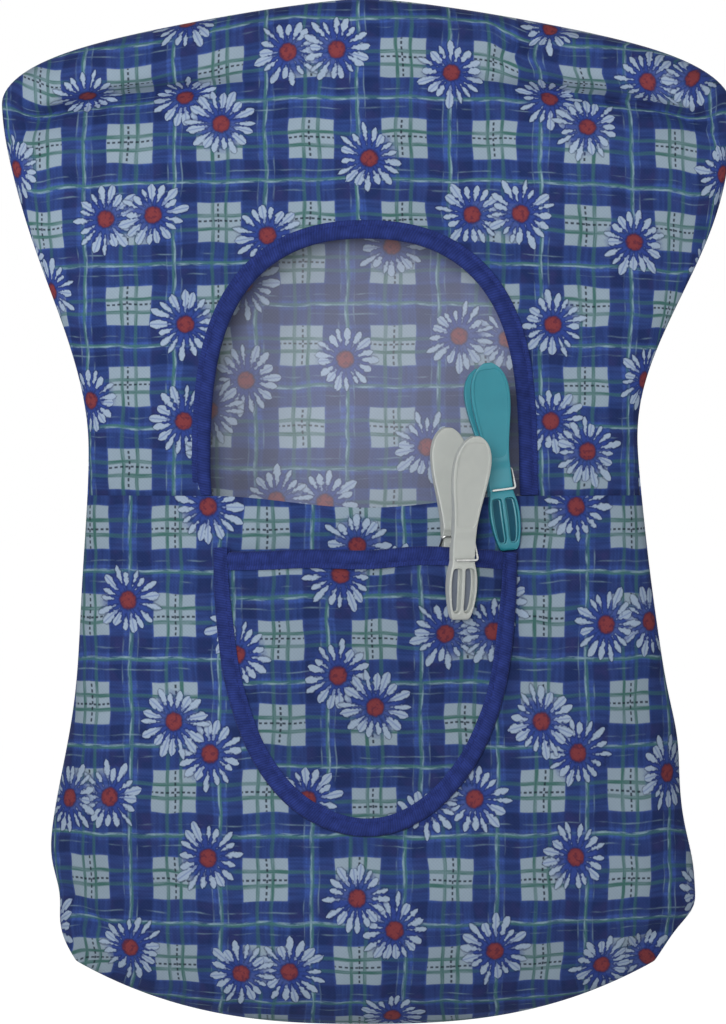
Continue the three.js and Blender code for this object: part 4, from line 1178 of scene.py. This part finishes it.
class PEGBAG_OT_bindings(bpy.types.Operator):
    """Binds the edges of the opening and of the pocket with blue tape, and stitches it down"""

    bl_idname = "pegbag.bindings"
    bl_label = "Bindings"

    def bind(self, solid, cloth, points, normals):
        grid, places, into = tape_grid(points, normals)
        name = solid.replace("binding", "tape")
        tape = sheet_object(name, grid, places, TAPE_THICK, [finish("ribbed_cotton_tape", ribbed_tape)])
        dress(tape, "bag", "blue_tape", solid)
        sewn = stitches(name + "_stitches", points, normals, into)
        dress(sewn, "bag", "blue_tape")

    def execute(self, context):
        s = sizes()
        arch = round_end(s.opening, s.opening_height, OPENING_POWERS, ROUND_STEPS)
        x, drop = arch[:, 0], s.lip_drop - LIP_ROOM - arch[:, 1]
        lift = upper_lift(drop)

        def at(px, pd):
            return on_front(px, pd, lift)

        self.bind("opening_binding", "front_upper_cloth", at(x, drop), surface_normals(at, x, drop))

        edge = round_end(s.pocket, s.pocket_height, POCKET_POWERS, ROUND_STEPS)
        # Its left end stands a little above the mouth.
        edge = np.concatenate([edge[:1] - (0, MOUTH_PASS), edge])
        rim = on_pocket(edge[:, 0], s.pocket_drop + edge[:, 1])
        self.bind("pocket_edge_binding", "pocket_cloth", *rim)

        half = s.pocket - s.tape_width + END_PASS
        x = np.linspace(half, -half, MOUTH_STEPS + 1)
        mouth = on_pocket(x, np.full(x.shape, s.pocket_drop))
        self.bind("pocket_top_binding", "pocket_cloth", *mouth)
        return {"FINISHED"}


# Hook and hanger

HOOK_WIRE = 3.2 * MM
HOOK_INSIDE = 18 * MM
HOOK_RADIUS = HOOK_INSIDE + HOOK_WIRE / 2
# Where the round of the hook starts and ends, and how high its straight stem reaches
HOOK_START, HOOK_END = math.radians(-60), math.radians(215)
STEM_TOP = -44 * MM
# Points of the stem, of its bend and of the round, and how far up the bend the stem's line leads it
STEM_POINTS, BEND_POINTS, ROUND_POINTS = 12, 24, 90
STEM_LEAD = 0.6
HEAD_TOP = -82.0 * MM
COLLAR_TOP = -51.4 * MM
# Radius, height and softened rim of the collar over the hanger and of the head below it
COLLAR = (3 * MM, 2.4 * MM, 0.5 * MM)
HEAD = (3.2 * MM, 2 * MM, 0.6 * MM)
# How far the wire runs into the head
HEAD_INSIDE = 1 * MM
DISC_SIDES = 40
# The rounded tip of the wire: how far its points lie past the round, and their radii as shares of the
# wire's, from the last one back
TIP_REACH = (0.4 * MM, 0.9 * MM, 1.3 * MM, 1.5 * MM)
TIP_RADII = (0.02, 0.5, 0.8, 0.95)


def wire(name, points, diameter, tips=()):
    """Round wire along points, from a curve. tips are the radii of its last points."""
    select_only()
    bpy.ops.curve.primitive_bezier_curve_add(location=(0, 0, 0))
    obj = bpy.context.object
    obj.name = obj.data.name = name
    curve = obj.data
    curve.splines.clear()
    spline = curve.splines.new("POLY")
    spline.points.add(len(points) - 1)
    for place, point in zip(spline.points, points):
        place.co = (*point, 1)
    for place, radius in zip(list(spline.points)[::-1], tips):
        place.radius = radius
    curve.dimensions = "3D"
    curve.bevel_depth = diameter / 2
    curve.bevel_resolution = 4
    curve.use_fill_caps = True
    select_only(obj)
    bpy.ops.object.convert(target="MESH")
    return bpy.context.object


def disc(top, radius, height, rim):
    """A short round piece with softened rims, hanging from its top."""
    select_only()
    bpy.ops.mesh.primitive_cylinder_add(
        vertices=DISC_SIDES, radius=radius, depth=height, location=(0, 0, top - height / 2))
    obj = bpy.context.object
    bpy.ops.object.transform_apply(location=True, rotation=True, scale=True)
    apply_modifier(
        obj, "BEVEL", width=rim, segments=3, limit_method="ANGLE", angle_limit=math.radians(40))
    return obj


class PEGBAG_OT_hanger(bpy.types.Operator):
    """Bends the wire hook and finishes the wooden hanger that it turns in"""

    bl_idname = "pegbag.hanger"
    bl_label = "Hanger and hook"

    def execute(self, context):
        turn = np.linspace(HOOK_START, HOOK_END, ROUND_POINTS)
        arc = HOOK_RADIUS * np.stack([np.cos(turn), 0 * turn, np.sin(turn)], -1) - (0, 0, HOOK_INSIDE)
        ways = np.stack([-np.sin(turn), 0 * turn, np.cos(turn)], -1)
        # The stem bends over into the round in one smooth curve.
        knots = [(0, 0, STEM_TOP), (0, 0, mix(STEM_TOP, arc[0, 2], STEM_LEAD)),
                 arc[0] - ways[0] * HOOK_RADIUS / 3, arc[0]]
        t = np.linspace(0, 1, BEND_POINTS)[:, None]
        weights = np.hstack([(1 - t) ** 3, 3 * (1 - t) ** 2 * t, 3 * (1 - t) * t ** 2, t ** 3])
        stem = np.linspace((0, 0, HEAD_TOP - HEAD_INSIDE), (0, 0, STEM_TOP), STEM_POINTS)
        tip = arc[-1] + np.outer(TIP_REACH, ways[-1])
        path = np.concatenate([stem[:-1], (weights @ np.array(knots))[:-1], arc, tip])
        hook = wire("hook_wire", path, HOOK_WIRE, tips=TIP_RADII)
        select_only(hook, disc(COLLAR_TOP, *COLLAR), disc(HEAD_TOP, *HEAD))
        bpy.ops.object.join()
        hook.data.materials.append(wire_finish())
        smooth(hook, 40)
        dress(hook, "hook", "bright_wire", "hook")
        finish_node("hook_washer", wire_finish())
        finish_node("hanger_body", finish("varnished_beech", varnished_beech))
        return {"FINISHED"}


# Pegs

PEG_PIVOT = 35 * MM
PEG_BAR = 26 * MM
NECK_HALF = 5.1 * MM
NECK_THICK = 5.0 * MM
SPRING_WIRE = 1.1 * MM
COIL_RADIUS = 2.2 * MM
SPLAY = math.tan(math.radians(15))
# Along a peg half, from the tip of its jaw: distance, half width and thickness, in millimetres
PEG_STATIONS = (
    (0.0, 3.2, 2.8), (0.5, 3.9, 3.4), (1.9, 4.5, 4.0), (2.6, 4.7, 4.2), (7.0, 5.8, 4.8),
    (12.0, 6.4, 5.2), (17.0, 6.5, 5.3), (20.8, 6.0, 5.3), (22.6, 5.5, 5.2), (24.6, 5.1, 5.0),
    (25.4, 5.0, 4.7), (26.6, 5.0, 4.7), (27.4, 5.1, 5.0), (32.0, 5.1, 5.0), (33.2, 5.1, 5.0),
    (35.0, 5.1, 5.0), (36.8, 5.1, 5.0), (38.0, 5.1, 5.0), (39.5, 5.15, 4.6), (44.0, 5.5, 4.4),
    (49.0, 6.2, 4.0), (54.0, 7.1, 3.6), (60.0, 8.1, 3.3), (66.0, 8.5, 3.2), (70.5, 8.2, 3.2),
    (74.5, 7.0, 3.2), (77.4, 5.2, 3.1), (79.2, 3.1, 2.9), (80.0, 1.5, 2.6),
)
# Shares of the half width where the columns of faces meet: walls, windows and the rib between them
PEG_COLUMNS = (-1.0, -0.86, -0.09, 0.09, 0.86, 1.0)
PEG_LAYERS = (0.0, 0.2, 0.8, 1.0)
# Sunk parts of the outer face: from and to along it, from and to across it, and their depth. The
# deep ones leave a thin web.
PEG_WINDOWS = (
    (2.5, 22.0, 0.1, 0.86, 3.2), (2.5, 22.0, -0.86, -0.1, 3.2), (39.0, 78.0, -0.86, 0.86, 0.35))
WINDOW_RIM, WINDOW_ROUND = 0.18 * MM, 0.2 * MM
# Faces whose normals point outward by more than this are part of the outer face.
OUTER_NORMAL = 0.6
# A window deeper than this, in millimetres, has a thin web, and its floor takes a darker plastic as painted
# shade.
WEB_DEPTH = 1
WALL, SHADED_WEB = 0, 1
# Room that the inner faces leave about the pivot for the coil, and half the thinnest cloth gripped
COIL_ROOM = 3.1 * MM
HALF_GRIP = 1.0 * MM
# The spring: turns, pitch of the coil, gap to the plastic, and length of its bars as a share
COIL_TURNS, COIL_PITCH = 2.5, 1.6 * MM
SPRING_GAP = 0.3 * MM
BAR_SHARE = 0.8
COIL_STEPS = 60
# Its bends: radius, and points in each
BEND_RADIUS = 1.3 * SPRING_WIRE
CORNER_POINTS = 7


def splay_at(up):
    return max(0.0, up - PEG_PIVOT) * SPLAY


def peg_half(name):
    """One moulded half, standing on its tip with its inner face at Y 0 and its outer face towards +Y."""
    select_only()
    bpy.ops.mesh.primitive_grid_add(
        x_subdivisions=len(PEG_COLUMNS) - 1, y_subdivisions=len(PEG_LAYERS) - 1, size=1)
    half = bpy.context.object
    half.name = half.data.name = name
    for _ in (WALL, SHADED_WEB):
        half.data.materials.append(None)
    _, wide, thick = (v * MM for v in PEG_STATIONS[0])
    by_place = sorted(half.data.vertices, key=lambda v: (round(v.co.y, 4), v.co.x))
    for k, vertex in enumerate(by_place):
        row, column = divmod(k, len(PEG_COLUMNS))
        vertex.co = (PEG_COLUMNS[column] * wide, PEG_LAYERS[row] * thick, 0)
    bpy.ops.object.mode_set(mode="EDIT")
    bpy.ops.mesh.select_mode(type="FACE")
    bpy.ops.mesh.select_all(action="SELECT")
    last = (0.0, wide, thick, 0.0)
    for station in PEG_STATIONS[1:]:
        up, wide, thick = (v * MM for v in station)
        # The inner face clears the coil at the pivot and splays above it.
        coil = math.sqrt(max(0, COIL_ROOM ** 2 - (up - PEG_PIVOT) ** 2)) - HALF_GRIP
        inner = max(splay_at(up), coil)
        thick -= inner - splay_at(up)
        bpy.ops.mesh.extrude_region_move(
            TRANSFORM_OT_translate={"value": (0, inner - last[3], up - last[0])})
        bpy.ops.transform.resize(
            value=(wide / last[1], thick / last[2], 1), center_override=(0, inner, up))
        last = (up, wide, thick, inner)
    for window in PEG_WINDOWS:
        sink_window(half, *window)
    face_outward()
    apply_modifier(half, "SUBSURF", levels=2, render_levels=2)
    smooth(half, 60)
    return half


def sink_window(half, low, high, left, right, depth):
    """Sinks part of the outer face of a peg half, leaving a rim. A deep window's floor is painted darker as
    painted shade.
    """
    bpy.ops.mesh.select_all(action="DESELECT")
    shape = bmesh.from_edit_mesh(half.data)
    shape.normal_update()
    stations = np.array(PEG_STATIONS) * MM
    for face in shape.faces:
        middle = face.calc_center_median()
        share = middle.x / np.interp(middle.z, stations[:, 0], stations[:, 1])
        inside = low * MM < middle.z < high * MM and left < share < right
        face.select_set(bool(face.normal.y > OUTER_NORMAL and inside))
    bmesh.update_edit_mesh(half.data)
    bpy.ops.mesh.inset(thickness=WINDOW_RIM)
    bpy.ops.mesh.extrude_region_move(TRANSFORM_OT_translate={"value": (0, -depth * MM, 0)})
    bpy.ops.mesh.inset(thickness=WINDOW_ROUND)
    # Painted shade: the floor of a deep window takes the darker plastic.
    if depth > WEB_DEPTH:
        half.active_material_index = SHADED_WEB
        bpy.ops.object.material_slot_assign()


def peg_spring_path(grip):
    """The wire in the peg's own frame: front bar, arm, coil about the pivot, arm, rear bar."""
    side = NECK_HALF + SPRING_WIRE / 2 + SPRING_GAP
    bar_out = grip / 2 + NECK_THICK + SPRING_WIRE / 2 + SPRING_GAP
    bar_end = BAR_SHARE * NECK_HALF
    coil_end = COIL_PITCH * COIL_TURNS / 2

    def arm(hand):
        corners = [
            (-hand * bar_end, -hand * bar_out, PEG_BAR), (hand * side, -hand * bar_out, PEG_BAR),
            (hand * side, -hand * COIL_RADIUS, PEG_PIVOT),
            (hand * (coil_end + SPRING_WIRE), -hand * COIL_RADIUS, PEG_PIVOT)]
        return rounded_corners(np.array(corners), BEND_RADIUS)

    turn = math.pi + np.linspace(0, 2 * math.pi * COIL_TURNS, COIL_STEPS + 1)
    coil = np.stack([
        np.linspace(coil_end, -coil_end, COIL_STEPS + 1), COIL_RADIUS * np.cos(turn),
        PEG_PIVOT + COIL_RADIUS * np.sin(turn)], -1)
    return np.concatenate([arm(1), coil, arm(-1)[::-1]])


def rounded_corners(corners, radius):
    """The same corners with each bend turned into a short curve."""
    points = [corners[0]]
    for before, corner, after in zip(corners, corners[1:], corners[2:]):
        ends = [corner + unit(other - corner) * min(radius, np.linalg.norm(other - corner) / 2)
                for other in (before, after)]
        for t in np.linspace(0, 1, CORNER_POINTS):
            points.append(mix(mix(ends[0], corner, t), mix(corner, ends[1], t), t))
    return np.array([*points, corners[-1]])


def peg_frame(name):
    """From the peg's own frame, between the tips of its jaws, to the bag's."""
    joint = {j["name"]: j for j in frame["joints"]}
    squeeze, pull = joint[name + "_squeeze"], joint[name + "_pull_off"]
    across, up = -Vector(squeeze["axis"]).normalized(), Vector(pull["axis"]).normalized()
    back = up.cross(across)
    tip = Vector(squeeze["pos_m"]) - up * PEG_PIVOT
    place = Matrix((across, back, up)).transposed().to_4x4()
    place.translation = tip
    return place


# Each peg: its slot, how far apart its jaws stand, and for its plastic and for the darker plastic of its
# deep windows, which is painted shade and on the milky peg also the blue of the cloth behind painted in,
# the name, the colour, the colour of its flow marks, and how see-through and how glossy it is. A colour
# that a user can change goes by its name.
PEGS = {
    "teal_peg": ("teal_plastic", 2.0 * MM, (
        ("moulded_teal_polypropylene", "teal", "#1f7c8c", 0.0, 0.5),
        ("thin_teal_polypropylene", "#12536a", "#0d4456", 0.0, 0.12))),
    "white_peg": ("clear_plastic", 5.4 * MM, (
        ("moulded_clear_polypropylene", "clear", "#b8bdba", 0.1, 0.5),
        ("thin_clear_polypropylene", "#7c8494", "#6c7485", 0.2, 0.2))),
}


class PEGBAG_OT_pegs(bpy.types.Operator):
    """Moulds the two pegs and winds their springs"""

    bl_idname = "pegbag.pegs"
    bl_label = "Pegs"

    def execute(self, context):
        model = peg_half("peg_model")
        for name, (slot, grip, plastics) in PEGS.items():
            place = peg_frame(name)
            for half, body, turn in (("front", name + "_front", math.pi), ("rear", name, 0.0)):
                select_only(model)
                bpy.ops.object.duplicate(linked=False)
                piece = context.object
                piece.name = piece.data.name = f"{name}_{half}_moulding"
                out = Matrix.Translation((0, grip / 2, 0))
                piece.data.transform(place @ Matrix.Rotation(turn, 4, "Z") @ out)
                for k, (plastic, colour, *details) in enumerate(plastics):
                    colour = getattr(colours(), colour, colour)
                    piece.data.materials[k] = finish(plastic, moulded_plastic, colour, *details)
                dress(piece, body, slot, f"{name}_{half}_half")
            path = [place @ Vector(p) for p in peg_spring_path(grip)]
            spring = wire(f"{name}_spring_wire", path, SPRING_WIRE)
            spring.data.materials.append(wire_finish())
            smooth(spring, 50)
            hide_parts(name + "_spring")
            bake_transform(spring)
        bpy.data.objects.remove(model)
        return {"FINISHED"}


# Stage

CAMERA_AWAY = 4.0
CAMERA_TILT = math.radians(1.0)
SENSOR_HEIGHT = 36
VIEW_HEIGHT = 0.440
VIEW_CENTRE = Vector((-0.9 * MM, 0, -272.2 * MM))
FLOOR, FLOOR_SIZE = -0.6, 30
# Lamps: place, size and power. They point at the middle of the bag.
LAMPS = {
    "key": ((-1.0, -1.4, 0.42), 0.7, 7.5),
    "fill": ((-0.2, -2.3, 0.05), 0.7, 26),
    "rim": ((0.2, 1.6, 0.8), 1.0, 8),
}
LAMP_TARGET = Vector((0, 0, -0.27))
# Light from all round, how white the floor shows, and its grey where it takes light and shadow
SKY_LIGHT = 0.16
FLOOR_GLOW = 0.96
FLOOR_GREY, SHADOW_GREY = (0.8, 0.8, 0.8, 1), (0.26, 0.26, 0.26, 1)
WHITE = (1, 1, 1, 1)


def seen_directly(add):
    """1 for rays that show the stage to the camera, a gloss or a clear piece, 0 for those that light."""
    light = add("LightPath")
    kinds = [light.outputs[f"Is {kind} Ray"] for kind in ("Camera", "Glossy", "Transmission")]
    return add("Math MAXIMUM", add("Math MAXIMUM", *kinds[:2]), kinds[2])


def white_floor(add):
    """A pale studio floor that shows white to the camera and keeps a soft shadow."""
    shown = add("AddShader", add("Emission", WHITE, FLOOR_GLOW), add("BsdfDiffuse", SHADOW_GREY))
    return add("MixShader", seen_directly(add), add("BsdfDiffuse", FLOOR_GREY), shown)


def area_light(name, place, size, power):
    lamp = bpy.data.lights.new(name, "AREA")
    lamp.shape, lamp.size, lamp.energy = "DISK", size, power
    obj = bpy.data.objects.new(name, lamp)
    obj.location = place
    obj.rotation_euler = (LAMP_TARGET - Vector(place)).to_track_quat("-Z", "Y").to_euler()
    bpy.context.scene.collection.objects.link(obj)


class PEGBAG_OT_stage(bpy.types.Operator):
    """Sets the floor, the lights and the camera"""

    bl_idname = "pegbag.stage"
    bl_label = "Stage"

    def execute(self, context):
        scene = context.scene
        select_only()
        bpy.ops.mesh.primitive_plane_add(size=FLOOR_SIZE, location=(0, 0, FLOOR))
        floor = context.object
        floor.name = "floor"
        floor.data.materials.append(finish("pale_floor", white_floor))

        scene.world = bpy.data.worlds.new("soft_studio")
        scene.world.use_nodes = True
        scene.world.node_tree.nodes.clear()
        add = partial(node, scene.world.node_tree)
        soft, white = (add("Background", WHITE, strength) for strength in (SKY_LIGHT, 1.0))
        add("OutputWorld", add("MixShader", seen_directly(add), soft, white))

        for name, lamp in LAMPS.items():
            area_light(name, *lamp)

        camera = bpy.data.objects.new("camera", bpy.data.cameras.new("camera"))
        scene.collection.objects.link(camera)
        away = Vector((0, -math.cos(CAMERA_TILT), math.sin(CAMERA_TILT)))
        camera.location = VIEW_CENTRE + CAMERA_AWAY * away
        camera.rotation_euler = (math.pi / 2 - CAMERA_TILT, 0, 0)
        camera.data.sensor_fit = "VERTICAL"
        camera.data.sensor_height = SENSOR_HEIGHT
        camera.data.lens = SENSOR_HEIGHT * CAMERA_AWAY / VIEW_HEIGHT
        scene.camera = camera
        scene.view_settings.view_transform = "Standard"
        return {"FINISHED"}


class PEGBAG_PT_sidebar(bpy.types.Panel):
    """Lists the bag's sizes, its colours and the steps that build it"""

    bl_idname = "PEGBAG_PT_sidebar"
    bl_label = "Peg bag"
    bl_space_type = "VIEW_3D"
    bl_region_type = "UI"
    bl_category = "Peg bag"

    def draw(self, context):
        for group in (context.scene.peg_bag_sizes, context.scene.peg_bag_colours):
            box = self.layout.box()
            for key in group.__annotations__:
                box.prop(group, key)
        for operator in OPERATORS:
            self.layout.operator(operator.bl_idname)


OPERATORS = (
    PEGBAG_OT_stage, PEGBAG_OT_hanger, PEGBAG_OT_panels, PEGBAG_OT_pocket, PEGBAG_OT_bindings,
    PEGBAG_OT_pegs)
CLASSES = (PegBagSizes, PegBagColours, *OPERATORS, PEGBAG_PT_sidebar)


def register():
    for cls in CLASSES:
        bpy.utils.register_class(cls)
    bpy.types.Scene.peg_bag_sizes = PointerProperty(type=PegBagSizes)
    bpy.types.Scene.peg_bag_colours = PointerProperty(type=PegBagColours)


def unregister():
    del bpy.types.Scene.peg_bag_colours
    del bpy.types.Scene.peg_bag_sizes
    for cls in reversed(CLASSES):
        bpy.utils.unregister_class(cls)


def main():
    register()
    bpy.ops.pegbag.stage()
    bpy.ops.pegbag.hanger()
    bpy.ops.pegbag.panels()
    bpy.ops.pegbag.pocket()
    bpy.ops.pegbag.bindings()
    bpy.ops.pegbag.pegs()


if __name__ == "__main__":
    main()
